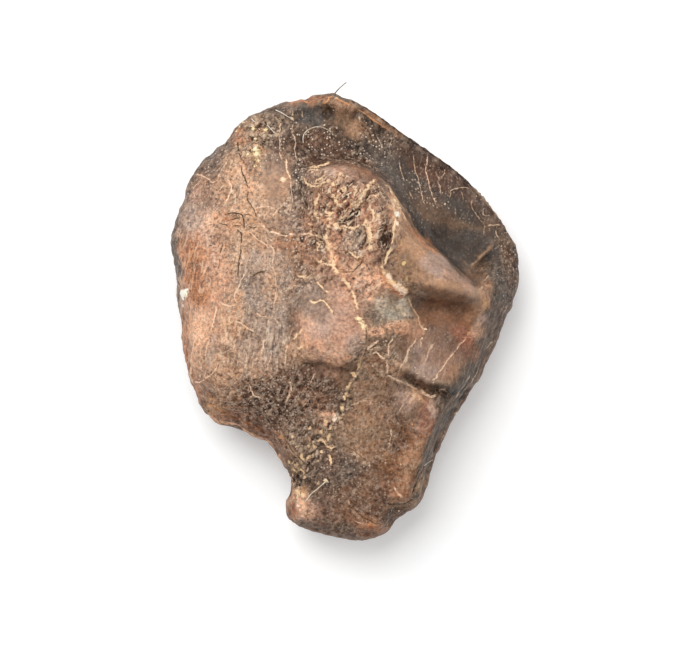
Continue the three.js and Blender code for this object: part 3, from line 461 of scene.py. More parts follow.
        (0.08, 0.7, [(2.65, 3.65), (2.62, 3.5)]), (0.08, 0.7, [(2.85, 1.98), (2.87, 1.8)]),
    ],
    "lemon": [
        (0.14, 1.0, [(-4.5, 8.4), (-4.4, 8.1), (-4.42, 7.85)]),
        (0.05, 1.0, [(-4.38, 7.8), (-4.26, 7.62)]),
    ],
    "calcite": [
        (0.12, 1.0, [(-0.3, -4.62), (-0.5, -4.8), (-0.62, -5.05)]),
        (0.11, 1.0, [(1.9, 2.18), (2.2, 1.82)]), (0.15, 1.0, [(2.3, 1.65), (2.6, 1.38), (2.85, 1.13)]),
        (0.07, 1.0, [(2.52, 4.6), (2.46, 4.35)]),
    ],
    "chalk": [
        (0.12, 1.0, [(2.44, 5.0), (2.42, 4.82)]), (0.05, 0.9, [(-8.0, 0.75), (-7.93, 0.55)]),
    ],
}

# Round marks: crumbs of mineral and pits, by pigment. x, y, radius and strength.
SPOTS = {
    "pale_vein": [
        (-6.65, 4.62, 0.07, 0.6), (-6.75, 5.1, 0.06, 0.6), (-2.7, 1.0, 0.05, 0.8),
        (-2.35, 2.35, 0.05, 0.7), (-1.6, 2.4, 0.06, 0.8), (-2.66, 9.83, 0.07, 1.0),
        (-3.9, 7.97, 0.05, 0.9), (-3.35, 7.75, 0.05, 0.9), (-5.15, 9.7, 0.05, 0.8),
        (-4.9, 9.7, 0.05, 0.8), (4.4, 5.95, 0.06, 0.9), (4.9, 5.7, 0.05, 0.8), (6.45, 6.1, 0.05, 0.8),
        (7.8, 3.65, 0.06, 0.8), (8.2, 3.25, 0.05, 0.8), (8.35, 2.85, 0.05, 0.7), (8.45, 1.9, 0.06, 0.6),
        (2.5, 9.1, 0.05, 0.7), (3.8, -0.5, 0.11, 0.7), (3.68, -0.92, 0.09, 0.7), (3.3, -2.35, 0.06, 0.7),
        (3.45, -2.6, 0.06, 0.7), (3.8, -2.8, 0.07, 0.7), (4.2, -3.08, 0.07, 0.8),
        (2.12, -6.05, 0.07, 0.8), (2.2, -5.45, 0.06, 0.7), (2.68, -7.08, 0.05, 0.9),
        (2.62, -9.5, 0.04, 0.8), (1.93, -7.05, 0.04, 0.8), (0.82, -6.75, 0.04, 0.8),
        (5.5, -4.72, 0.08, 1.0),
    ],
    "boss_mineral": [
        (-0.1, 6.15, 0.13, 1.0), (-0.45, 5.8, 0.104, 1.0), (-0.5, 4.5, 0.104, 1.0),
        (-1.45, 5.6, 0.104, 1.0),
    ],
    "rose_calcite": [
        (-0.62, -4.6, 0.09, 1.0),
    ],
    "rust_vein": [
        (3.23, -5.12, 0.1, 0.6), (2.4, -0.6, 0.09, 0.5), (1.95, -0.85, 0.08, 0.5),
        (3.5, -0.15, 0.08, 0.5),
    ],
    "cream": [
        (-2.4, -8.5, 0.12, 1.0), (-2.1, -8.65, 0.1, 1.0), (-2.45, -8.8, 0.08, 1.0),
        (0.4, -2.75, 0.112, 1.0), (-0.1, -3.8, 0.088, 1.0), (-1.85, -6.25, 0.088, 1.0),
        (-2.65, -5.75, 0.062, 1.0), (-2.45, -6.25, 0.056, 1.0), (-2.35, -7.65, 0.062, 1.0),
        (-1.0, -7.92, 0.1, 1.0), (0.35, -2.65, 0.1, 1.0), (-0.98, -5.0, 0.09, 1.0),
        (-1.2, -6.5, 0.08, 1.0), (-2.05, -7.8, 0.09, 1.0), (-1.75, -5.35, 0.07, 1.0),
    ],
    "sulphur": [
        (2.75, 2.6, 0.13, 0.9), (3.35, 2.43, 0.08, 0.4),
    ],
    "lemon": [
        (2.32, 5.65, 0.1, 1.0), (-4.49, 7.45, 0.07, 1.0), (-4.21, 7.44, 0.05, 1.0),
        (-3.95, 9.25, 0.1, 1.0), (-4.58, 9.35, 0.1, 1.0), (-4.44, 8.84, 0.09, 1.0),
        (-5.43, 9.28, 0.08, 1.0), (-5.09, 9.67, 0.06, 1.0), (-4.8, 8.05, 0.06, 1.0),
        (0.6, 0.0, 0.12, 1.0), (0.78, -0.35, 0.1, 1.0),
    ],
    "calcite": [
        (-2.35, -9.15, 0.07, 1.0), (2.6, 5.3, 0.08, 1.0),
    ],
    "chalk": [
        (-7.98, 1.25, 0.2, 1.0), (-7.72, 1.44, 0.09, 1.0), (-8.02, 1.0, 0.1, 1.0),
        (-4.43, 8.3, 0.06, 1.0), (-4.33, 8.0, 0.05, 1.0),
    ],
    "pit_black": [
        (-1.0, -5.45, 0.08, 0.8), (-1.65, -5.9, 0.07, 0.8),
    ],
}

# ---------------------------------------------------------------- colours of the real materials

PIGMENTS = {
    # enamel, from where it is worn pale to where manganese has turned it dark
    "pale_enamel": "#d0a78a", "pink_enamel": "#b98f78", "lilac_enamel": "#a48b7f",
    "tan_enamel": "#ab8a72", "grey_enamel": "#94847a", "brown_enamel": "#846655",
    "umber_enamel": "#64534a", "slate_enamel": "#49423e",
    # dentine
    "pink_dentine": "#bb9480", "tan_dentine": "#a98367", "olive_dentine": "#90725a",
    "brown_dentine": "#765540", "dark_dentine": "#574238", "grey_dentine": "#96897b", "peach": "#c99b7f",
    "boss_dentine": "#97735f", "bevel_brown": "#754a2c", "slope_brown": "#52382a",
    # root, clay, dark film, and blacks that serve for pits and painted shadow
    "grey_root": "#675141", "root_shadow": "#64432c", "strip_grey": "#463c34", "blue_slate": "#55504d",
    "blue_clay": "#7f7d78", "pale_clay": "#d6cbb8", "black_brown": "#2c211a", "pit_black": "#1a120d",
    # iron stains
    "iron_orange": "#a8714f", "iron_red": "#885743", "rust_brown": "#8c5f43", "ochre": "#cf9f74",
    "rust_vein": "#cf9468",
    # mineral fillings and sediment
    "pale_vein": "#f0cdae", "boss_mineral": "#f4cfa6", "rose_calcite": "#e8b494", "calcite": "#ffe2c8",
    "cream": "#ecc79c", "lemon": "#fbe8b4", "sulphur": "#d9bf84", "chalk": "#f3efe0",
}

# Grains, ridges, cracks and painted glints that the material itself draws, as linear red, green and blue.
# The glint tint, and part of the speck tint, is painted highlight.
GRAIN_TINTS = {
    "ridge": (0.62, 0.44, 0.33), "painted_glint": (0.94, 0.74, 0.54), "thread": (0.46, 0.33, 0.25),
    "speck_and_glint": (0.78, 0.61, 0.47), "crust": (0.8, 0.58, 0.4), "crack": (0.03, 0.018, 0.011),
}

# ---------------------------------------------------------------- how colours, lines and habits are laid

GROUND = "grey_root"  # shows wherever no stain lies
STAINED_SLOPES = (-0.5, 0.1)  # upward part of the normal from which stains set in and are full
WORN_SLOPES = (-0.1, 0.35)  # the same for the habits, the lines and the crumbs
WANDER = (0.8, 4)  # size and octaves of the slow wander of stains, finishes and lines
JITTER = (0.3, 3)  # the same for the quick one
PATCH_JITTER = 0.16  # how ragged the edges of stains and finishes are
STAIN_WANDER = 0.25  # how far stains wander off their places in the tables
FINISH_WANDER = 0.4  # the same for finishes
LINE_WANDER = 0.06  # the same for veins and cracks, over long stretches
LINE_JITTER = 0.04  # the same for veins and cracks, over short ones
STAIN_SOFTNESS = 0.42  # width of a stain's soft edge, as a share of the stain
FINISH_SOFTNESS = 0.3  # the same for a finish
BAND_EDGE = (0.6, 1.4)  # half widths from its route between which a band fades out
TRAIL_EDGE = (0.7, 1.3)  # the same for a trail
TRAIL_JITTER = 0.4  # share of the patches' raggedness
BAND_TAPER = (10.0, 0.15)  # fade at each end of a band, as LEDGE_TAPER
LINE_STEPS = 3  # as ROUTE_STEPS, for veins and cracks
LINE_REACH = 0.3  # how far from a line its presence fades out
LINE_SEARCH = 0.4  # how far from a line the distance to it is measured
LINE_TAPER = (0.12, 0.3)  # the same for veins and cracks
NO_LINE = (1.0, 0.03)  # distance and half width given where no line is near
VEIN_RELIEF = (0.01, 0.03)  # height of a vein, and how far it spreads past the vein's sides
CRACK_RELIEF = (-0.05, 0.02)  # the same for a crack, which is cut in
EDGE_SHADE_WIDTH = 0.45  # painted shade, with some dark film, where the face rounds over to the sides
EDGE_SHADE_COVER = 0.7  # how much of the ground it hides
EDGE_SHADE_TURN = (-3, 3)  # Y between which the painted edge shade turns from the root's colour to the crown's
ENAMEL_GRAIN = (1.0, 0.35, 1.0)  # draws features of the enamel out along Y
RIM_WAVES = (0.1, 0.9)  # distance in from the outline over which the rim's waves die down
BLOCK_SIZE = 0.34  # how far apart the blocks of rubble are
BLOCK_EDGE = 0.1  # how far in from its sides a block rises
BLOCK_SLOPE = 1.2  # how steeply it rises
BLOCK_BEND = 0.1  # how crooked the sides of the blocks are
BLOCK_LIFT = 0.12  # how uneven in height the blocks are
GAP_DEPTH = 0.05  # how deep the gaps between the blocks are
CRUMB_HEIGHT = 0.35  # share of a crumb's radius
CRUMB_LUMPS = (0.7, 1.2)  # how lumpy a crumb is in outline and in height
CRUMB_EDGE = (0.7, 1.2)  # radii between which a crumb's colour fades out
CRUMB_JITTER = 0.6  # how ragged the edge of that colour is
FINE_PASSES = 3  # rounds of smoothing that tell the small recesses from the ridges
BROAD_PASSES = 14  # the same for the larger ones

# Stains of the outer face, with a few painted shadows among them, laid one over the other:
# x, y, half length, half width, turn in degrees, pigment, how much it covers.
STAINS = [
    # smooth lobe: tan, rosy towards the outline and grey towards the boss
    (-4.8, 2.2, 3.9, 6.8, -4, "tan_enamel", 1.0), (-6.9, 1.5, 1.4, 4.2, 4, "pink_enamel", 0.75),
    (-7.3, 5.3, 1.2, 1.2, 0, "lilac_enamel", 0.75), (-6.7, 4.9, 0.5, 0.3, 10, "pale_enamel", 0.35),
    (-7.6, 4.8, 0.4, 0.8, -8, "grey_enamel", 0.6), (-4.4, 1.9, 0.9, 1.4, 0, "grey_enamel", 0.8),
    (-4.3, -1.0, 1.5, 1.9, -5, "grey_enamel", 0.85), (-3.3, 1.5, 0.7, 3.4, 0, "grey_enamel", 0.7),
    (-6.55, -1.6, 0.35, 0.6, -10, "grey_enamel", 0.8), (-5.6, 0.3, 0.6, 1.2, -5, "tan_enamel", 0.5),
    (-5.5, -0.2, 0.5, 2.0, -4, "pale_enamel", 0.45), (-6.0, -1.9, 0.5, 0.6, 0, "tan_enamel", 0.5),
    (-7.2, -0.4, 0.6, 0.9, 8, "pale_enamel", 0.6), (-7.75, -1.2, 0.3, 1.6, 8, "iron_orange", 0.35),
    (-5.6, 7.0, 0.6, 0.9, 0, "pale_enamel", 0.25), (-4.75, 7.0, 0.25, 0.8, 12, "peach", 0.5),
    (-6.8, 7.85, 1.4, 0.6, 44, "umber_enamel", 0.95), (-7.3, 6.5, 0.9, 0.8, 40, "brown_enamel", 0.6),
    (-6.7, 5.7, 0.6, 0.5, 0, "brown_enamel", 0.7), (-3.55, 7.5, 0.6, 0.6, 0, "grey_dentine", 0.6),
    (-3.4, 7.7, 0.5, 0.5, 0, "brown_enamel", 0.6), (-3.4, 6.5, 0.65, 0.9, -12, "tan_enamel", 0.8),
    (-3.3, 6.7, 0.7, 0.9, -12, "brown_enamel", 0.35), (-3.0, 4.65, 0.9, 0.4, 3, "umber_enamel", 0.55),
    (-7.5, 2.6, 0.65, 1.5, 10, "iron_orange", 0.65), (-7.2, 1.1, 0.5, 0.5, 0, "iron_orange", 0.6),
    (-5.65, 4.75, 0.7, 0.3, -8, "iron_orange", 0.6), (-3.3, 3.5, 0.5, 0.3, 0, "rust_brown", 0.5),
    (-2.7, 3.7, 0.7, 0.4, -10, "rust_brown", 0.7), (-4.2, 2.05, 0.45, 0.22, 8, "umber_enamel", 0.7),
    (-4.6, 1.75, 0.18, 0.18, 0, "umber_enamel", 0.5), (-4.15, 1.85, 0.15, 0.15, 0, "umber_enamel", 0.4),
    (-6.2, -3.3, 1.1, 0.6, -25, "brown_dentine", 0.5), (-7.0, -3.7, 0.5, 0.7, 20, "brown_enamel", 0.8),
    (-5.5, -4.6, 1.7, 0.55, -20, "bevel_brown", 0.9), (-6.4, -4.4, 0.55, 0.55, 0, "ochre", 0.6),
    (-6.3, -4.8, 0.4, 0.3, 0, "iron_orange", 0.7),
    # valley between lobe and boss
    (-2.15, 6.1, 0.55, 2.0, 2, "slate_enamel", 0.95), (-2.2, 7.6, 0.6, 0.5, 0, "slate_enamel", 0.6),
    (-2.1, 4.6, 0.65, 0.9, 0, "umber_enamel", 0.85), (-2.0, 3.0, 0.9, 0.9, 0, "brown_dentine", 0.8),
    (-1.9, 2.35, 0.5, 0.3, 0, "umber_enamel", 0.6), (-2.2, 1.1, 0.7, 0.8, 0, "grey_root", 0.75),
    (-2.5, -0.3, 0.35, 1.0, -8, "grey_root", 0.85), (-2.7, -1.5, 0.25, 0.6, 0, "umber_enamel", 0.3),
    # chipped corner
    (-5.2, 9.05, 0.55, 0.5, 40, "iron_orange", 0.9), (-4.25, 9.25, 0.45, 0.22, 35, "peach", 0.9),
    (-3.6, 8.65, 0.7, 0.5, -10, "dark_dentine", 0.85), (-4.9, 9.42, 0.2, 0.22, 0, "umber_enamel", 0.9),
    (-4.8, 8.9, 0.12, 0.25, -15, "slope_brown", 0.9), (-4.5, 8.2, 0.3, 0.55, 5, "peach", 0.85),
    (-4.42, 8.1, 0.18, 0.36, 5, "cream", 1.0),
    # hollow under the rim
    (-3.2, 9.5, 0.7, 1.2, -5, "umber_enamel", 0.85), (-1.85, 9.9, 0.75, 0.65, 5, "blue_slate", 0.95),
    (-2.35, 8.4, 0.35, 0.9, 0, "umber_enamel", 0.8), (-1.1, 8.4, 1.3, 0.95, 5, "dark_dentine", 0.9),
    (-1.6, 8.0, 0.8, 0.4, 8, "slate_enamel", 0.5), (0.1, 9.6, 0.75, 0.65, -20, "olive_dentine", 0.9),
    (-0.85, 10.2, 0.33, 0.38, -20, "black_brown", 0.9), (0.42, 10.2, 0.15, 0.2, 0, "black_brown", 0.8),
    (1.0, 9.92, 0.14, 0.18, 0, "black_brown", 0.8), (1.75, 9.35, 0.18, 0.22, 0, "black_brown", 0.8),
    (0.2, 8.5, 1.2, 0.6, -30, "black_brown", 0.75), (0.9, 9.8, 0.6, 0.4, -30, "slate_enamel", 0.85),
    # trough and its rim
    (4.4, 6.6, 3.3, 1.5, -39, "slate_enamel", 0.95), (1.6, 8.3, 1.0, 0.7, -38, "slate_enamel", 0.8),
    (1.9, 7.3, 1.3, 0.35, -42, "blue_slate", 0.8), (4.1, 7.4, 2.2, 0.5, -36, "slope_brown", 0.85),
    (5.9, 6.2, 0.8, 0.4, -40, "dark_dentine", 0.6), (5.0, 3.9, 1.9, 0.95, -32, "slate_enamel", 0.95),
    (6.5, 3.8, 1.0, 0.6, -35, "slate_enamel", 0.8), (4.1, 4.5, 0.7, 0.35, -42, "black_brown", 0.7),
    (5.2, 4.75, 1.3, 0.25, -14, "olive_dentine", 0.5), (6.7, 2.2, 0.6, 0.4, 40, "grey_root", 0.6),
    (7.5, 2.4, 0.5, 1.8, 4, "slate_enamel", 0.9), (7.2, 3.2, 0.4, 0.8, 20, "slate_enamel", 0.6),
    (7.55, 1.6, 0.1, 1.2, 6, "grey_enamel", 0.5), (8.25, 2.6, 0.3, 1.4, -4, "slope_brown", 0.9),
    (7.3, 0.2, 0.45, 1.5, 14, "black_brown", 0.6),
    # boss
    (-0.1, 4.0, 2.0, 3.6, 0, "boss_dentine", 1.0), (-0.3, 6.95, 1.4, 0.4, -12, "pink_dentine", 0.85),
    (-0.3, 7.55, 1.3, 0.25, -8, "brown_dentine", 0.9), (1.0, 7.0, 0.7, 0.35, -40, "brown_dentine", 0.8),
    (-1.2, 6.9, 0.7, 0.4, 12, "lilac_enamel", 0.7), (0.6, 6.1, 0.5, 0.3, 50, "peach", 0.6),
    (-0.5, 5.2, 0.9, 0.8, 45, "rust_brown", 0.5), (0.3, 4.85, 0.45, 0.25, 35, "dark_dentine", 0.8),
    (0.6, 3.92, 0.12, 0.26, 0, "dark_dentine", 0.9), (0.5, 3.8, 0.55, 0.6, 0, "grey_dentine", 0.5),
    (1.35, 4.4, 0.25, 0.9, -5, "peach", 0.6), (1.5, 5.4, 0.35, 0.4, 0, "brown_dentine", 0.5),
    (1.8, 3.65, 0.24, 1.05, 3, "slope_brown", 0.95), (2.24, 2.66, 0.2, 0.28, 0, "dark_dentine", 0.8),
    (1.25, 2.69, 0.18, 0.18, 0, "dark_dentine", 0.6), (-0.72, 3.5, 0.24, 1.2, 3, "peach", 0.85),
    (-1.4, 3.6, 0.5, 0.5, 0, "umber_enamel", 0.6), (-0.9, 6.1, 0.6, 0.35, 30, "rust_brown", 0.45),
    (-1.1, 4.2, 0.3, 0.25, 0, "dark_dentine", 0.6), (1.2, 1.85, 1.1, 0.5, -8, "peach", 0.85),
    (0.2, 1.2, 1.1, 0.9, 0, "pink_dentine", 0.75), (-0.2, 2.4, 0.6, 0.4, 0, "peach", 0.5),
    (-0.8, -0.3, 1.6, 1.6, 0, "pink_dentine", 0.9), (-1.7, 1.0, 0.8, 0.9, 0, "grey_enamel", 0.85),
    (-0.1, -0.5, 0.8, 0.8, 0, "pink_dentine", 0.8), (-1.95, -0.7, 0.25, 0.8, -15, "peach", 0.6),
    (-1.3, -1.3, 0.7, 0.25, -10, "peach", 0.5), (-0.4, -1.5, 0.5, 0.4, 0, "lilac_enamel", 0.8),
    (-0.6, -1.85, 0.9, 0.2, -8, "peach", 0.7), (-0.9, 0.0, 0.7, 0.6, 0, "lilac_enamel", 0.5),
    (0.45, -1.2, 0.35, 0.5, 0, "lilac_enamel", 0.7), (1.85, 0.75, 0.48, 0.3, -10, "blue_clay", 0.95),
    (2.3, 0.1, 0.55, 0.4, -40, "blue_clay", 0.9), (2.85, 0.5, 0.35, 0.45, 0, "pale_clay", 0.95),
    (1.2, 1.15, 0.3, 0.3, 0, "peach", 0.7), (1.6, -0.55, 1.0, 0.3, 15, "peach", 0.85),
    (2.6, -0.4, 0.5, 0.3, 0, "tan_dentine", 0.8),
    # flank
    (3.5, 3.3, 1.4, 0.9, -50, "tan_dentine", 1.0), (2.5, 5.1, 0.4, 1.2, 14, "peach", 0.75),
    (2.75, 5.4, 0.2, 0.6, 30, "iron_orange", 0.6), (2.85, 4.3, 0.4, 0.8, 10, "olive_dentine", 0.7),
    (2.8, 2.3, 0.55, 0.9, 20, "olive_dentine", 0.9), (4.3, 2.55, 0.75, 0.6, -40, "lilac_enamel", 0.9),
    (5.5, 1.6, 0.9, 0.4, -35, "pink_dentine", 0.7), (4.0, 3.6, 0.7, 0.2, -45, "iron_orange", 0.6),
    (4.6, 1.6, 1.5, 0.3, -12, "tan_dentine", 0.8), (6.7, 1.2, 0.4, 0.6, -20, "tan_dentine", 0.9),
    (6.8, 0.8, 0.3, 0.25, 0, "ochre", 0.5),
    # foot of the flank, with a band of painted shadow under the flank's lower edge
    (4.6, 0.3, 1.9, 0.9, -8, "brown_dentine", 0.95), (5.2, -0.6, 1.3, 0.6, -10, "slope_brown", 0.45),
    (5.0, -0.1, 1.2, 0.5, 0, "rust_brown", 0.4), (4.6, 1.05, 1.6, 0.25, -10, "black_brown", 0.35),
    (3.4, 0.9, 0.3, 0.4, 0, "umber_enamel", 0.7),
    # shelf
    (3.8, -1.9, 1.8, 1.1, 12, "lilac_enamel", 0.75), (5.0, -1.9, 0.9, 1.3, 20, "rust_brown", 0.45),
    (2.7, -1.7, 0.6, 0.9, -10, "grey_root", 0.8), (3.3, -0.9, 0.6, 0.35, 0, "brown_dentine", 0.7),
    (4.6, -0.9, 1.0, 0.7, 15, "brown_enamel", 0.7), (5.55, -0.8, 0.6, 0.5, -30, "iron_red", 0.95),
    (6.0, -1.4, 0.45, 0.7, 10, "iron_red", 0.9), (5.4, -2.4, 0.45, 0.5, 25, "tan_dentine", 0.5),
    (6.65, 0.05, 0.4, 0.3, -25, "lilac_enamel", 0.8), (6.5, -0.65, 0.3, 0.35, 0, "pink_dentine", 0.6),
    (1.5, -2.1, 0.6, 0.55, 0, "brown_dentine", 0.8), (3.0, -2.6, 0.4, 0.12, -25, "dark_dentine", 0.6),
    # the patch at (5.3, -3.6) is painted shadow under the shelf's broken lip
    (5.3, -3.6, 0.7, 0.3, 0, "slope_brown", 0.9), (4.85, -3.75, 0.38, 0.18, -12, "brown_dentine", 0.9),
    # slope down to the notch
    (-3.0, -3.9, 2.7, 1.7, 0, "slope_brown", 0.95), (-1.3, -2.9, 1.4, 0.9, 0, "slope_brown", 0.9),
    (-1.7, -4.3, 1.0, 0.9, 0, "brown_dentine", 0.45), (-4.2, -5.4, 1.6, 0.5, -32, "bevel_brown", 0.95),
    (-4.1, -5.1, 1.0, 0.15, -22, "slope_brown", 0.8), (-3.6, -6.15, 0.5, 0.2, -40, "rust_brown", 0.6),
    (-3.1, -6.6, 0.5, 0.4, -45, "brown_dentine", 0.7), (-0.9, -4.75, 0.4, 0.3, -20, "peach", 0.6),
    # root
    (0.9, -5.2, 1.5, 1.0, -10, "olive_dentine", 0.7), (0.6, -3.4, 0.9, 0.5, -10, "grey_root", 0.6),
    (1.9, -4.4, 0.9, 0.8, 0, "brown_dentine", 0.6), (2.8, -4.0, 0.5, 0.6, -15, "lilac_enamel", 0.6),
    (3.8, -5.0, 0.5, 0.9, -20, "iron_red", 0.6), (4.2, -4.5, 0.3, 0.35, -20, "lilac_enamel", 0.7),
    (2.4, -5.6, 0.6, 0.7, 0, "root_shadow", 0.7), (2.8, -7.2, 0.9, 1.8, -18, "bevel_brown", 0.8),
    (2.5, -6.2, 0.35, 0.9, -10, "root_shadow", 0.6), (3.2, -6.9, 0.45, 1.0, -22, "tan_dentine", 0.6),
    (2.7, -8.2, 0.4, 0.5, 0, "tan_dentine", 0.5), (1.7, -7.0, 0.55, 1.1, 15, "root_shadow", 0.75),
    (-0.7, -7.3, 1.3, 1.0, -10, "dark_dentine", 0.9), (0.2, -7.4, 0.5, 0.9, 0, "slate_enamel", 0.6),
    (-0.9, -9.6, 1.3, 0.9, -20, "dark_dentine", 0.7), (0.9, -9.1, 1.5, 1.1, 0, "brown_dentine", 0.75),
    (2.2, -8.2, 0.6, 0.5, 0, "rust_brown", 0.5), (1.2, -10.1, 0.8, 0.4, -25, "rust_brown", 0.8),
    (2.3, -9.6, 0.8, 0.4, 35, "slope_brown", 0.85), (0.4, -10.8, 1.2, 0.35, 0, "slope_brown", 0.95),
    (2.6, -9.4, 0.6, 0.25, 20, "dark_dentine", 0.7), (-2.1, -9.4, 0.6, 0.6, 0, "pink_dentine", 0.75),
    (-2.65, -9.4, 0.3, 0.7, 5, "iron_red", 0.8), (-2.25, -8.62, 0.38, 0.3, 10, "ochre", 1.0),
    (-2.2, -7.95, 0.6, 0.2, 0, "dark_dentine", 0.8),
    # broken side strip, its grey darkened partly as painted shade
    (5.6, -3.6, 0.6, 3.4, -27, "strip_grey", 0.95), (4.2, -6.6, 0.4, 2.2, -20, "strip_grey", 0.95),
    (3.7, -8.4, 0.3, 0.5, -15, "olive_dentine", 0.9),
]
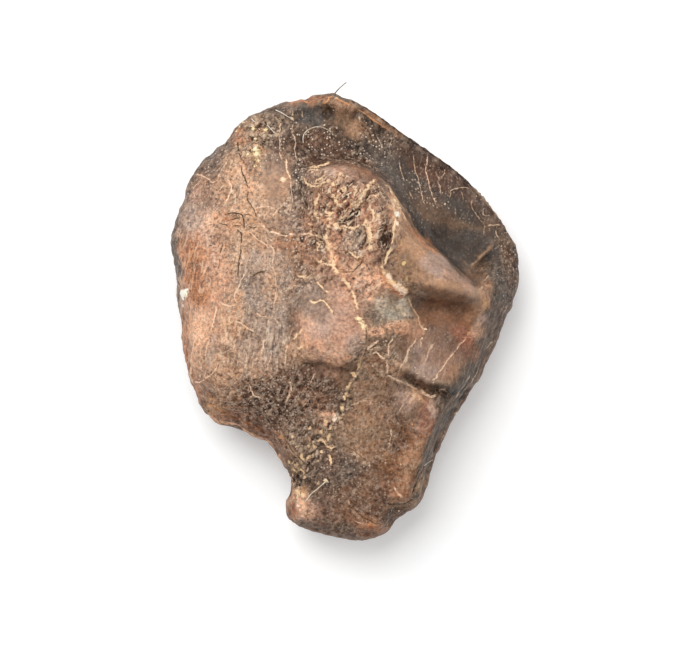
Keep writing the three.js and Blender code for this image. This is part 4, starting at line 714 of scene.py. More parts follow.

# Thin glazes, laid over the stains in this order and in the same form. They darken the rim, the top of the
# crown, the root end and the +X side with painted shade and some dark film, put painted shadow under the
# shelf's lip, and lighten some places.
GLAZES = [
    (-0.5, 8.7, 4.6, 1.5, -8, "black_brown", 0.16), (0.9, -9.6, 2.6, 1.6, 0, "slope_brown", 0.35),
    (-1.0, -7.4, 1.4, 0.8, 0, "pit_black", 0.12), (6.3, -3.6, 0.6, 1.2, -25, "black_brown", 0.7),
    (7.9, 0.8, 0.5, 2.6, 8, "black_brown", 0.35), (-0.3, 7.65, 1.3, 0.3, -8, "slope_brown", 0.35),
    (0.6, 6.5, 0.7, 0.5, -35, "slope_brown", 0.3), (-2.4, 7.9, 1.2, 1.2, 0, "slope_brown", 0.25),
    (-2.9, 9.4, 0.9, 0.7, 0, "black_brown", 0.22), (-6.6, 7.4, 0.6, 0.6, 0, "umber_enamel", 0.4),
    (-4.4, 8.7, 0.6, 0.4, 0, "dark_dentine", 0.25), (-6.6, 5.5, 0.6, 0.5, 0, "brown_enamel", 0.3),
    (-3.4, 7.6, 0.5, 0.5, 0, "umber_enamel", 0.35), (-1.4, 7.6, 0.5, 0.4, 0, "umber_enamel", 0.35),
    (5.0, -3.6, 1.0, 0.4, -10, "pit_black", 0.35), (5.6, -3.4, 0.5, 0.5, 0, "pit_black", 0.7),
    (4.45, -6.0, 0.45, 1.4, -20, "black_brown", 0.4), (3.6, -8.4, 0.4, 0.6, 0, "black_brown", 0.3),
    (2.6, -9.5, 0.7, 0.5, 30, "slope_brown", 0.4), (7.4, 1.5, 0.5, 0.6, 0, "black_brown", 0.4),
    (6.4, 1.75, 0.5, 0.3, -30, "dark_dentine", 0.3), (-2.6, -4.5, 0.9, 0.5, 0, "black_brown", 0.25),
    (4.4, -0.9, 0.9, 0.7, 0, "dark_dentine", 0.25), (2.3, 0.35, 0.9, 0.6, -30, "pale_clay", 0.35),
    (2.5, -0.5, 0.6, 0.35, 0, "peach", 0.8), (-2.6, -1.6, 0.5, 0.5, 0, "tan_enamel", 0.4),
    (-4.5, -2.4, 0.7, 0.5, 0, "tan_enamel", 0.4), (-5.5, -0.6, 0.5, 0.6, 0, "pale_enamel", 0.6),
    (-2.5, 5.0, 0.5, 0.9, 0, "grey_enamel", 0.35), (-1.6, -0.4, 0.5, 0.6, 0, "lilac_enamel", 0.4),
    (4.9, -1.6, 1.1, 0.6, 10, "umber_enamel", 0.35), (-1.5, -9.5, 0.5, 0.5, 0, "pink_dentine", 0.45),
    (1.1, -6.5, 0.9, 0.5, 0, "tan_dentine", 0.5), (-0.5, -2.3, 0.5, 0.5, 0, "peach", 0.35),
    (-0.4, -1.5, 0.5, 0.4, 0, "peach", 0.35), (2.55, 5.45, 0.35, 0.6, 20, "ochre", 0.95),
    (3.6, -3.7, 0.5, 0.4, 0, "tan_dentine", 0.6), (5.0, 1.1, 1.2, 0.3, -10, "brown_dentine", 0.5),
    (5.9, 0.4, 0.6, 0.3, 0, "tan_dentine", 0.5), (1.3, -10.4, 0.9, 0.5, -20, "iron_orange", 0.45),
    (-2.6, -9.5, 0.4, 0.6, 0, "iron_orange", 0.4), (2.6, -8.5, 0.5, 0.5, 0, "iron_orange", 0.35),
    (-6.0, -3.4, 0.9, 0.5, -20, "tan_enamel", 0.45), (0.4, 9.5, 0.5, 0.4, -20, "olive_dentine", 0.5),
    (0.1, 10.4, 0.9, 0.25, -15, "tan_dentine", 0.35), (4.2, 5.1, 1.1, 0.5, -38, "grey_root", 0.35),
    (-3.5, 1.5, 0.5, 0.7, 0, "tan_enamel", 0.4), (0.9, -3.0, 1.2, 1.1, 0, "tan_dentine", 0.28),
    (1.2, -4.6, 1.0, 0.8, 0, "tan_dentine", 0.22), (-1.5, 0.7, 0.6, 0.8, 0, "grey_root", 0.4),
    (0.5, 6.5, 0.5, 0.4, -35, "dark_dentine", 0.3), (0.4, -10.6, 1.3, 0.4, -5, "black_brown", 0.4),
    (2.5, -9.5, 0.6, 0.4, 30, "black_brown", 0.35), (-1.6, -7.5, 0.6, 0.6, 0, "black_brown", 0.25),
    (-0.4, 7.35, 1.2, 0.35, -10, "dark_dentine", 0.35), (5.6, -3.9, 0.4, 0.5, -20, "black_brown", 0.5),
    (2.5, 3.1, 0.3, 0.4, 0, "tan_dentine", 0.5), (2.6, -1.2, 0.5, 0.5, 0, "brown_dentine", 0.3),
    (1.4, 9.5, 0.8, 0.3, -30, "black_brown", 0.2), (-2.5, 8.6, 0.6, 0.6, 0, "black_brown", 0.2),
    (-3.6, 9.3, 0.6, 0.5, 0, "umber_enamel", 0.35), (4.5, 5.3, 1.4, 0.6, -38, "grey_root", 0.35),
    (0.5, 9.4, 0.5, 0.45, -20, "tan_dentine", 0.4), (-5.2, -1.3, 2.4, 1.6, -5, "pale_enamel", 0.2),
    (-3.6, 3.1, 0.5, 2.2, 0, "pale_enamel", 0.2), (-5.1, 5.6, 0.9, 0.6, 0, "pale_enamel", 0.3),
    (3.4, -0.5, 0.5, 0.4, 0, "peach", 0.4), (2.5, -2.5, 0.5, 0.4, 0, "tan_dentine", 0.35),
    (4.5, 1.5, 1.4, 0.35, -12, "tan_dentine", 0.35), (0.6, 1.2, 1.5, 0.7, 0, "peach", 0.3),
    (2.6, -9.5, 0.5, 0.5, 30, "black_brown", 0.3), (-2.38, -8.95, 0.42, 0.45, 0, "peach", 0.85),
    (-2.1, -9.35, 0.3, 0.3, 0, "pale_enamel", 0.6), (0.5, 8.45, 0.7, 0.45, -20, "black_brown", 0.35),
    (-1.0, 8.6, 0.9, 0.45, 5, "brown_dentine", 0.4), (-2.2, -4.5, 1.1, 0.5, 0, "pit_black", 0.18),
    (-0.6, -3.5, 0.5, 0.5, 0, "pit_black", 0.18), (0.5, -4.4, 0.5, 0.4, 0, "root_shadow", 0.4),
    (-3.5, 9.0, 0.7, 0.9, 0, "pit_black", 0.12), (-6.5, 7.5, 0.5, 0.5, 0, "umber_enamel", 0.25),
    (-6.5, 5.5, 0.5, 0.4, 0, "umber_enamel", 0.2), (1.5, 9.45, 0.5, 0.4, -30, "pit_black", 0.2),
    (-6.5, 4.6, 0.5, 0.4, 0, "pale_enamel", 0.5), (-7.4, -1.5, 0.5, 0.7, 0, "pale_enamel", 0.5),
    (-5.4, -0.5, 0.5, 0.5, 0, "pale_enamel", 0.35), (-3.5, 1.5, 0.5, 0.5, 0, "pale_enamel", 0.25),
    (-2.5, -1.5, 0.4, 0.5, 0, "pale_enamel", 0.25), (-0.5, -1.5, 0.5, 0.4, 0, "pale_enamel", 0.25),
    (0.5, 2.5, 0.5, 0.5, 0, "pale_enamel", 0.35), (-0.2, 10.4, 0.6, 0.3, 0, "tan_dentine", 0.4),
    (0.5, 9.4, 0.4, 0.35, 0, "tan_dentine", 0.5), (2.55, 5.4, 0.3, 0.5, 20, "calcite", 0.4),
    (4.4, 5.5, 1.5, 0.5, -38, "grey_root", 0.3), (1.6, 0.4, 0.7, 0.9, 0, "pale_clay", 0.12),
    (3.4, -3.65, 0.5, 0.4, 0, "pale_enamel", 0.4), (2.5, -2.45, 0.5, 0.4, 0, "pale_enamel", 0.25),
    (6.5, -0.5, 0.35, 0.4, 0, "pale_enamel", 0.3), (5.7, -3.5, 0.5, 0.5, 0, "pit_black", 0.5),
    (6.3, -1.7, 0.35, 0.5, 20, "rust_brown", 0.5), (3.1, -6.7, 0.4, 0.7, -22, "root_shadow", 0.25),
    (1.2, -10.2, 0.8, 0.35, -25, "root_shadow", 0.3),
]

# Stains, and a few painted shadows and highlights, that follow a route: half width, pigment, how much it
# covers, route.
BANDS = [
    # painted shadow just beyond the top edge of the boss
    (0.34, "slope_brown", 0.95, [(-2.3, 7.25), (-1.5, 7.75), (-0.6, 7.9), (0.2, 7.8), (0.9, 7.42),
        (1.5, 6.95), (1.95, 6.5)]),
    (0.28, "slate_enamel", 0.95, [(1.8, 7.15), (2.3, 6.5), (2.75, 5.9), (3.15, 5.25), (3.6, 4.6),
        (4.2, 3.95), (4.9, 3.3), (5.5, 2.7), (6.0, 2.2)]),
    (0.15, "rust_brown", 0.9, [(-3.6, 10.5), (-3.1, 10.65), (-2.1, 10.75), (-0.8, 10.85), (-0.1, 10.75)]),
    (0.13, "tan_dentine", 0.6, [(-0.1, 10.75), (0.8, 10.4), (1.7, 9.9), (2.4, 9.3), (2.8, 8.9)]),
    (0.2, "dark_dentine", 0.6, [(2.9, 8.95), (4.2, 8.1), (5.4, 7.1), (6.4, 6.2), (7.2, 5.4), (7.8, 4.4)]),
    (0.08, "rust_brown", 0.8, [(0.0, 7.5), (0.4, 7.35), (0.8, 7.1), (1.15, 6.8), (1.5, 6.45)]),
    (0.07, "iron_orange", 0.8, [(2.25, 5.8), (2.55, 5.2), (2.9, 4.6), (3.35, 4.0), (3.9, 3.45),
        (4.5, 2.9)]),
    (0.1, "dark_dentine", 0.7, [(1.4, 6.45), (1.2, 6.1), (1.0, 5.8), (0.75, 5.45), (0.45, 5.15)]),
    (0.06, "olive_dentine", 0.8, [(7.4, 3.8), (7.0, 3.35), (6.5, 2.9), (6.0, 2.4)]),
    (0.2, "iron_orange", 0.7, [(1.6, 2.4), (1.9, 1.95), (2.2, 1.6), (2.5, 1.3), (2.8, 1.0)]),
    (0.12, "cream", 1.0, [(1.7, 2.45), (1.95, 2.1), (2.3, 1.7), (2.6, 1.4), (2.9, 1.1)]),
    # painted shadow in the gap under the shelf's broken lip
    (0.13, "slope_brown", 0.9, [(2.6, -2.6), (3.1, -2.85), (3.7, -3.12), (4.3, -3.3), (4.9, -3.4)]),
    (0.2, "pit_black", 0.8, [(3.9, -3.22), (4.4, -3.35), (4.9, -3.42), (5.3, -3.52), (5.7, -3.35),
        (6.0, -3.05)]),
    (0.3, "iron_orange", 0.55, [(-8.2, -0.2), (-7.95, -1.8), (-7.45, -3.6), (-7.1, -4.3)]),
    # painted shadow along the lobe's left outline
    (0.25, "slate_enamel", 0.8, [(-8.4, 5.2), (-8.5, 4.4), (-8.5, 3.4), (-8.4, 2.4), (-8.3, 1.8)]),
    # painted rim highlight along the notch's outline
    (0.09, "pale_enamel", 0.9, [(-7.0, -4.65), (-6.6, -5.0), (-6.1, -5.2), (-5.3, -5.4), (-4.6, -5.8),
        (-3.9, -6.3), (-3.3, -6.9), (-3.05, -7.3)]),
    # painted shadow under the step near the root end
    (0.15, "black_brown", 1.0, [(1.9, -9.1), (2.5, -9.13), (3.05, -9.05), (3.35, -8.75), (3.42, -8.3)]),
    # painted shadow along the step down to the broken side strip
    (0.14, "black_brown", 0.75, [(5.7, -3.4), (5.2, -4.0), (4.75, -4.7), (4.4, -5.4), (4.15, -6.0),
        (3.95, -6.7), (3.7, -7.4), (3.35, -8.1), (3.1, -8.6)]),
]

# Surface habits, and how much of each the tooth has where no finish lies.
HABITS = ("grit", "worms", "speckle", "crinkle", "striae", "gloss", "rubble")
PLAIN = (0.5, 0.1, 0.15, 0.25, 0.2, 0.35, 0.0)

# Finishes: x, y, half length, half width, turn in degrees, and the amounts of the seven habits.
FINISHES = [
    # smooth lobe, its streaked foot and its dark shoulder
    (-4.8, 2.0, 3.9, 7.2, -4, (0.7, 0.0, 0.6, 0.2, 0.6, 0.6, 0.0)),
    (-4.2, -1.7, 2.6, 2.0, 0, (0.6, 0.0, 0.5, 0.2, 1.0, 0.55, 0.0)),
    (-7.2, 0.2, 1.0, 3.6, 6, (0.5, 0.0, 0.25, 0.15, 0.7, 0.65, 0.0)),
    (-6.9, 7.7, 1.4, 0.9, 47, (0.8, 0.1, 0.8, 0.3, 0.0, 0.4, 0.0)),
    (-7.4, 2.6, 0.8, 1.7, 8, (0.7, 0.0, 0.3, 0.0, 1.0, 0.6, 0.0)),
    (-3.3, 6.6, 0.7, 1.2, -10, (0.3, 0.0, 0.1, 0.1, 0.2, 0.6, 0.0)),
    # hollow under the rim and the valley
    (-0.6, 8.8, 2.8, 1.5, -10, (1.0, 0.15, 1.3, 0.1, 0.0, 0.5, 0.0)),
    (-2.2, 5.6, 0.8, 2.6, -5, (1.0, 0.35, 1.3, 0.1, 0.0, 0.45, 0.0)),
    (-1.7, 2.6, 1.0, 1.9, -5, (1.0, 0.3, 0.8, 0.2, 0.0, 0.4, 0.0)),
    (-1.85, 9.9, 0.8, 0.65, 0, (0.3, 0.0, 0.15, 0.0, 0.0, 0.6, 0.0)),
    (0.1, 9.6, 0.8, 0.6, -20, (0.4, 0.05, 0.1, 0.0, 0.0, 0.45, 0.0)),
    (-4.4, 8.9, 1.3, 0.9, 40, (1.1, 0.4, 0.6, 0.4, 0.0, 0.3, 0.7)),
    # trough
    (4.9, 5.6, 3.6, 2.0, -38, (0.12, 0.0, 0.3, 0.0, 0.2, 0.75, 0.0)),
    (4.0, 6.3, 1.5, 0.7, -38, (0.3, 0.0, 0.6, 0.1, 0.2, 0.65, 0.0)),
    (5.6, 3.9, 1.8, 0.8, -28, (0.2, 0.0, 0.1, 0.0, 0.0, 0.75, 0.0)),
    (8.2, 2.4, 0.5, 2.4, -6, (0.55, 0.1, 0.5, 0.2, 0.0, 0.5, 0.0)),
    # boss
    (0.0, 4.4, 2.3, 3.5, 0, (0.9, 0.55, 0.3, 0.1, 0.0, 0.35, 0.0)),
    (0.0, 7.15, 1.6, 0.45, -14, (0.5, 0.1, 0.1, 0.1, 0.0, 0.45, 0.0)),
    (-0.2, 5.3, 1.3, 1.0, 40, (1.0, 1.0, 0.5, 0.0, 0.0, 0.35, 0.0)),
    (0.5, 3.8, 0.6, 0.7, 0, (1.0, 0.9, 0.8, 0.0, 0.0, 0.35, 0.0)),
    (0.1, 1.8, 1.6, 1.1, 0, (0.85, 0.35, 0.3, 0.1, 0.0, 0.35, 0.0)),
    (-0.8, -0.3, 1.8, 1.8, 0, (0.4, 0.05, 0.1, 0.1, 0.0, 0.4, 0.0)),
    (2.3, 0.5, 1.0, 0.7, -20, (0.6, 0.05, 0.6, 0.1, 0.0, 0.3, 0.0)),
    # flank and what lies under it
    (4.6, 2.4, 2.4, 1.2, -35, (0.15, 0.0, 0.0, 0.0, 0.15, 0.45, 0.0)),
    (4.6, 0.3, 2.2, 0.8, -8, (0.2, 0.0, 0.1, 0.0, 0.0, 0.45, 0.0)),
    (4.2, -1.8, 2.2, 1.4, 0, (0.15, 0.0, 0.2, 0.1, 0.35, 0.5, 0.0)),
    (1.6, -1.6, 1.2, 1.6, 0, (0.9, 0.2, 0.5, 0.2, 0.0, 0.35, 0.1)),
    # slope, bevel and rubble at the seam
    (-3.3, -4.3, 3.2, 1.9, 0, (1.2, 0.25, 0.6, 0.8, 0.1, 0.35, 0.0)),
    (-4.8, -5.3, 2.4, 0.45, -28, (0.9, 0.1, 0.3, 0.5, 0.0, 0.5, 0.0)),
    (-1.6, -6.0, 1.0, 1.3, -30, (1.2, 0.8, 0.6, 0.5, 0.0, 0.3, 0.6)),
    # root and its broken side
    (0.8, -7.2, 3.0, 3.4, 0, (0.65, 0.1, 0.3, 0.4, 0.2, 0.4, 0.0)),
    (-0.5, -7.6, 1.6, 1.2, 0, (0.85, 0.15, 0.5, 0.3, 0.1, 0.4, 0.0)),
    (-2.0, -9.3, 0.8, 0.8, 0, (0.8, 0.1, 0.4, 0.3, 0.0, 0.45, 0.0)),
    (5.2, -4.4, 0.7, 4.0, -26, (0.4, 0.05, 0.15, 0.1, 0.4, 0.5, 0.0)),
]

# Finishes that follow a route: half width, the seven amounts as above, route.
TRAILS = [
    (0.16, (0.9, 0.4, 0.3, 0.3, 0.0, 0.3, 0.5), [(0.9, -1.5), (0.5, -2.5), (0.2, -3.2), (-0.1, -4.0)]),
    (0.3, (0.9, 0.4, 0.3, 0.3, 0.0, 0.3, 0.9), [(-0.1, -4.0), (-0.5, -5.0), (-1.2, -6.0), (-2.0, -7.0),
        (-2.6, -8.0)]),
    (0.14, (0.9, 0.3, 0.3, 0.2, 0.0, 0.3, 0.4), [(0.95, -1.5), (1.7, -1.6), (1.95, -2.6), (3.0, -3.1)]),
]

# Crumbs of sediment that stick to the tooth: x, y, radius, pigment.
CRUMBS = [
    (2.43, 4.95, 0.13, "chalk"), (2.32, 5.6, 0.09, "cream"), (-4.4, 8.1, 0.2, "cream"),
    (-4.4, 7.85, 0.12, "cream"), (-3.95, 9.2, 0.12, "cream"), (-7.95, 1.22, 0.2, "chalk"),
    (2.8, 0.2, 0.08, "pale_vein"), (-1.0, 7.0, 0.06, "pale_vein"), (-4.2, 5.0, 0.07, "pale_vein"),
    (-0.5, 10.8, 0.08, "ochre"), (-2.66, 9.83, 0.09, "chalk"), (-3.1, 6.75, 0.1, "pale_vein"),
    (-0.97, -7.92, 0.09, "chalk"),
]

# Lint is cotton, whose tone wanders between two shades.
COTTON_TONES = {"pale": ("#c9b79c", "#f2ead8"), "dark": ("#5a4e44", "#8c8074")}
FIBRE_STEPS = 4  # as ROUTE_STEPS, for the fibres
FIBRE_REST = 0.4  # share of its thickness that a fibre's middle lies above the tooth
FIBRE_THINNING = 0.4  # share of its thickness that a fibre has lost at its far end
RAY_START = 20 * MM  # height that the rays which lay the fibres start from

# Lint on the tooth: thickness, how high it arches, its tone, and its route.
FIBRES = [
    (0.045, 0.25, "pale", [(-2.12, 8.68), (-2.12, 8.97), (-1.98, 9.22), (-1.62, 9.43), (-1.23, 9.47),
        (-0.78, 9.28)]),
    (0.05, 0.05, "pale", [(-3.48, 10.32), (-3.08, 10.07), (-2.58, 9.78)]),
    (0.045, 0.05, "pale", [(-3.88, 9.53), (-3.7, 9.33), (-3.52, 9.12)]),
    (0.045, 0.05, "pale", [(-4.67, 9.88), (-4.55, 9.75), (-4.42, 9.68)]),
    (0.05, 0.2, "pale", [(-0.97, -7.92), (-1.38, -8.28), (-1.73, -8.57), (-2.02, -8.97)]),
    (0.045, 0.05, "pale", [(3.83, -7.22), (4.1, -7.1), (4.33, -7.03)]),
    (0.08, 0.0, "dark", [(-0.62, 10.9), (-0.6, 11.1), (-0.45, 11.32), (-0.2, 11.56), (0.0, 11.72)]),
    (0.04, 0.0, "dark", [(-6.4, -4.95), (-6.25, -5.2), (-6.03, -5.3)]),
]


def linear(code):
    """Colour of an sRGB hex code, as linear red, green and blue."""
    parts = [int(code[i:i + 2], 16) / 255 for i in (1, 3, 5)]
    return np.array([p / 12.92 if p <= 0.04045 else ((p + 0.055) / 1.055) ** 2.4 for p in parts])


TINTS = {name: linear(code) for name, code in PIGMENTS.items()}


# ---------------------------------------------------------------- curves

def smoothstep(low, high, value):
    t = np.clip((value - low) / (high - low), 0, 1)
    return t * t * (3 - 2 * t)


def bell(distance, width):
    return np.exp(-(distance / width) ** 2)


def smooth_rows(rows, steps, closed=False):
    """Catmull-Rom curve through rows of numbers. A closed curve ends on a copy of its first row."""
    rows = np.asarray(rows, float)
    if closed:
        padded = np.vstack([rows[-1:], rows, rows[:2]])
    else:
        padded = np.vstack([rows[:1], rows, rows[-1:]])
    t = np.linspace(0, 1, steps, endpoint=False)[:, None]
    spans = []
    for before, start, end, after in zip(padded, padded[1:], padded[2:], padded[3:]):
        slope = end - before
        bend = 2 * before - 5 * start + 4 * end - after
        twist = 3 * start - before - 3 * end + after
        spans.append(start + 0.5 * (slope * t + bend * t ** 2 + twist * t ** 3))
    spans.append(padded[-2:-1])
    return np.vstack(spans)


def nearest_on(curve, x, y, reach=None):
    """Nearest place on a curve for each point: distance, side, run and the curve's whole length.

    The side is +1 on the walker's right. Points farther off than the reach are left at a great distance.
    """
    distance = np.full(x.shape, FAR_OFF)
    side = np.ones(x.shape)
    run = np.zeros(x.shape)
    near = np.arange(len(x))
    if reach:
        low = curve[:, :2].min(0) - reach
        high = curve[:, :2].max(0) + reach
        near = near[(x > low[0]) & (x < high[0]) & (y > low[1]) & (y < high[1])]
    near_x, near_y = x[near], y[near]
    best, best_side, best_run = distance[near], side[near], run[near]
    length = 0.0
    for start, end in zip(curve, curve[1:]):
        dx, dy = end[0] - start[0], end[1] - start[1]
        step = math.hypot(dx, dy)
        t = np.clip(((near_x - start[0]) * dx + (near_y - start[1]) * dy) / step ** 2, 0, 1)
        off_x = near_x - start[0] - t * dx
        off_y = near_y - start[1] - t * dy
        gap = np.hypot(off_x, off_y)
        closer = gap < best
        best = np.where(closer, gap, best)
        best_side = np.where(closer, np.sign(off_x * dy - off_y * dx), best_side)
        best_run = np.where(closer, length + t * step, best_run)
        length += step
    distance[near], side[near], run[near] = best, best_side, best_run
    return distance, side, run, length


def fade_at_ends(run, length, taper):
    """Fades what is drawn on a route towards the route's ends.

    The taper is the length of the fade and its share of a short route. The lesser of the two counts.
    """
    fade = min(taper[0], taper[1] * length)
    return smoothstep(0, fade, run) * smoothstep(0, fade, length - run)


# ---------------------------------------------------------------- form

def plate_bend(distance_squared):
    return distance_squared * np.log(np.maximum(distance_squared, 1e-12))


def plate_height(x, y):
    """Height of a thin plate that leans on the landmarks."""
    marks = np.array(LANDMARKS)
    count = len(marks)
    gaps = marks[:, None, :2] - marks[None, :, :2]
    loads = plate_bend((gaps ** 2).sum(-1)) + PLATE_STIFFNESS * np.eye(count)
    level = np.hstack([np.ones((count, 1)), marks[:, :2]])
    system = np.block([[loads, level], [level.T, np.zeros((3, 3))]])
    weights = np.linalg.solve(system, np.append(marks[:, 2], [0, 0, 0]))
    height = weights[-3] + weights[-2] * x + weights[-1] * y
    for (mark_x, mark_y, _), weight in zip(marks, weights):
        height += weight * plate_bend((x - mark_x) ** 2 + (y - mark_y) ** 2)
    return height


def ledge_height(x, y, ledge):
    drop, width, reach, scallop, route = ledge
    distance, side, run, length = nearest_on(smooth_rows(route, ROUTE_STEPS), x, y, FADED_OUT * reach)
    offset = distance * side
    if scallop:
        depth, spacing = scallop
        offset = offset + depth * (SCALLOP_MIDDLE - np.abs(np.sin(math.pi * run / spacing)))
    share = np.where(offset > 0, HIGH_SHARE, HIGH_SHARE - 1)
    step = share * drop * (1 - bell(offset, width)) * bell(distance, reach)
    return step * fade_at_ends(run, length, LEDGE_TAPER)


def rib_height(x, y, rib):
    height, width, route = rib
    distance, _, run, length = nearest_on(smooth_rows(route, ROUTE_STEPS), x, y, FADED_OUT * width)
    return height * bell(distance, width) * fade_at_ends(run, length, RIB_TAPER)


def mound(x, y, lump):
    lump_x, lump_y, radius_x, radius_y, height = lump
    return height * np.exp(-((x - lump_x) / radius_x) ** 2 - ((y - lump_y) / radius_y) ** 2)


def face_height(x, y):
    height = plate_height(x, y)
    for ledge in LEDGES + SMALL_LEDGES:
        height += ledge_height(x, y, ledge)
    for rib in RIBS + SMALL_RIBS:
        height += rib_height(x, y, rib)
    for lump in LUMPS + SMALL_LUMPS:
        height += mound(x, y, lump)
    return height


def under_height(x, y):
    return np.maximum(0, sum(mound(x, y, hollow) for hollow in UNDER_HOLLOWS) - LAND_LEVEL)


def round_over(distance, rounding):
    """Quarter circle: 0 at the outline, 1 from the end of the rounding inwards."""
    return np.sqrt(1 - (1 - np.clip(distance / rounding, 0, 1)) ** 2)


def make_cube():
    """Cube of side 2 cut into small cells."""
    bpy.ops.object.select_all(action="DESELECT")
    bpy.ops.mesh.primitive_cube_add(size=2)
    bpy.ops.object.mode_set(mode="EDIT")
    bpy.ops.mesh.select_all(action="SELECT")
    for cuts in BALL_CUTS:
        bpy.ops.mesh.subdivide(number_cuts=cuts)
    bpy.ops.object.mode_set(mode="OBJECT")
    return bpy.context.object


def blow_up(corners):
    """Points of a cube of side 2 moved out to a ball of radius 1, so that its cells are of like size."""
    points = np.tan(corners * math.pi / 4)
    return points / np.linalg.norm(points, axis=1)[:, None]


def read_vectors(parts, field):
    """A vector of every vertex or normal of a mesh, one to a row."""
    numbers = np.empty(len(parts) * 3, np.float32)
    parts.foreach_get(field, numbers)
    return numbers.reshape(-1, 3).astype(float)


def write_points(mesh, points):
    """Moves the mesh's vertices to places in millimetres, and hands back its new normals."""
    mesh.vertices.foreach_set("co", (points * MM).astype(np.float32).ravel())
    mesh.update()
    return read_vectors(mesh.vertex_normals, "vector")


def lay_out(ball):
    """Lays the ball's points out in plan: plan x and y, and which points are on the outer face."""
    girdle = smooth_rows(GIRDLE, GIRDLE_STEPS, closed=True)
    steps = np.hypot(*np.diff(girdle[:, :2], axis=0).T)
    arms = girdle[:, :2] - HUB
    wedges = np.abs(arms[:-1, 0] * arms[1:, 1] - arms[:-1, 1] * arms[1:, 0])
    shares = np.append(0, np.cumsum(steps / steps.sum() + wedges / wedges.sum())) / 2
    is_face = ball[:, 2] >= FACE_START
    climb = (ball[:, 2] - FACE_START) / np.where(is_face, 1 - FACE_START, -1 - FACE_START)
    spread = np.sqrt(np.clip(1 - np.clip(climb, 0, 1) ** RIM_CROWDING, 0, 1))
    first_turn = math.atan2(GIRDLE[0][1] - HUB[1], GIRDLE[0][0] - HUB[0])
    turn = (first_turn - np.arctan2(ball[:, 1], ball[:, 0])) / (2 * math.pi) % 1.0
    x = HUB[0] + spread * (np.interp(turn, shares, girdle[:, 0]) - HUB[0])
    y = HUB[1] + spread * (np.interp(turn, shares, girdle[:, 1]) - HUB[1])
    return x, y, is_face, girdle


def form_tooth(ball):
    """The tooth's points in millimetres, before the fine relief, and their plan places."""
    x, y, is_face, girdle = lay_out(ball)
    distance, _, run, _ = nearest_on(girdle, x, y)
    runs = np.append(0, np.cumsum(np.hypot(*np.diff(girdle[:, :2], axis=0).T)))
    rim = np.interp(run, runs, girdle[:, 2])
    rounding = np.interp(run, runs, girdle[:, 3])
    target = np.where(is_face, face_height(x, y), under_height(x, y))
    blend = round_over(distance, np.where(is_face, rounding, UNDER_ROUNDING))
    points = np.stack([x, y, rim + (target - rim) * blend], axis=1)
    low, high = points.min(0), points.max(0)
    box_low, box_high = [np.array(corner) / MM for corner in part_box("tooth")]
    fitted = box_low + (points - low) / (high - low) * (box_high - box_low)
    return fitted, x, y, is_face, distance


# ---------------------------------------------------------------- surface habits

def fractal(points, size, octaves, seed):
    """Soft random relief from about -1 to 1, with features of that size in millimetres."""
    places = (points / size + seed).tolist()
    return np.fromiter((noise.fractal(place, 1.0, 2.0, octaves) for place in places), float, len(places))


def cells(points, size, seed):
    """Distance to the nearest and second nearest of random seeds that far apart, in millimetres."""
    found = [noise.voronoi(place)[0] for place in (points / size + seed).tolist()]
    return np.array([gaps[:2] for gaps in found]) * size


def blend_in(values, share, target):
    """Moves each point's row of values towards the target by the point's share."""
    values += share[:, None] * (target - values)


def patch_share(x, y, ragged, patch, softness):
    """How much of a patch lies at each point: 1 in its middle, 0 outside."""
    patch_x, patch_y, half_length, half_width, turn = patch
    angle = math.radians(turn)
    along = (x - patch_x) * math.cos(angle) + (y - patch_y) * math.sin(angle)
    across = (y - patch_y) * math.cos(angle) - (x - patch_x) * math.sin(angle)
    reach = np.hypot(along / half_length, across / half_width) + ragged / min(half_length, half_width)
    return 1 - smoothstep(1 - softness, 1 + softness, reach)


def spread_habits(x, y, ragged, upward):
    """Amount of each surface habit at each point."""
    amounts = np.tile(PLAIN, (len(x), 1))
    for *patch, finish in FINISHES:
        blend_in(amounts, patch_share(x, y, ragged, patch, FINISH_SOFTNESS) * upward, np.array(finish))
    for half_width, finish, route in TRAILS:
        distance = nearest_on(smooth_rows(route, ROUTE_STEPS), x, y, FADED_OUT * half_width)[0]
        share = (1 - smoothstep(*TRAIL_EDGE, (distance + TRAIL_JITTER * ragged) / half_width)) * upward
        blend_in(amounts, share, np.array(finish))
    return dict(zip(HABITS, amounts.T))


def lay_stains_and_shade(x, y, inset, ragged, top):
    """Linear colour of the ground at each point, with painted shade and highlight laid in with the stains.
    The inset is the distance in from the outline.
    """
    colour = np.tile(TINTS[GROUND], (len(x), 1))
    for *patch, pigment, cover in STAINS + GLAZES:
        blend_in(colour, patch_share(x, y, ragged, patch, STAIN_SOFTNESS) * cover * top, TINTS[pigment])
    # painted shade, with some dark film, where the face rounds over at the outline
    crownward = smoothstep(*EDGE_SHADE_TURN, y)[:, None]
    edge_shade_tint = TINTS["root_shadow"] * (1 - crownward) + TINTS["slate_enamel"] * crownward
    edge_shade = EDGE_SHADE_COVER * (1 - smoothstep(0.0, EDGE_SHADE_WIDTH, inset + ragged)) * top
    blend_in(colour, edge_shade, edge_shade_tint)
    for half_width, pigment, cover, route in BANDS:
        curve = smooth_rows(route, ROUTE_STEPS)
        distance, _, run, length = nearest_on(curve, x, y, FADED_OUT * half_width)
        share = (1 - smoothstep(*BAND_EDGE, distance / half_width)) * cover * top
        blend_in(colour, share * fade_at_ends(run, length, BAND_TAPER), TINTS[pigment])
    return colour


def lay_crumbs(colour, x, y, jitter, upward):
    """Colours the crumbs of sediment, with ragged outlines."""
    for crumb_x, crumb_y, radius, pigment in CRUMBS:
        gap = np.hypot(x - crumb_x, y - crumb_y) * (1 + CRUMB_JITTER * jitter)
        blend_in(colour, upward * (1 - smoothstep(*CRUMB_EDGE, gap / radius)), TINTS[pigment])


def rows_and_tints(groups):
    """The rows of every group in one list, and the colour of each row's pigment."""
    rows = [row for group in groups.values() for row in group]
    return rows, np.array([TINTS[pigment] for pigment, group in groups.items() for _ in group])


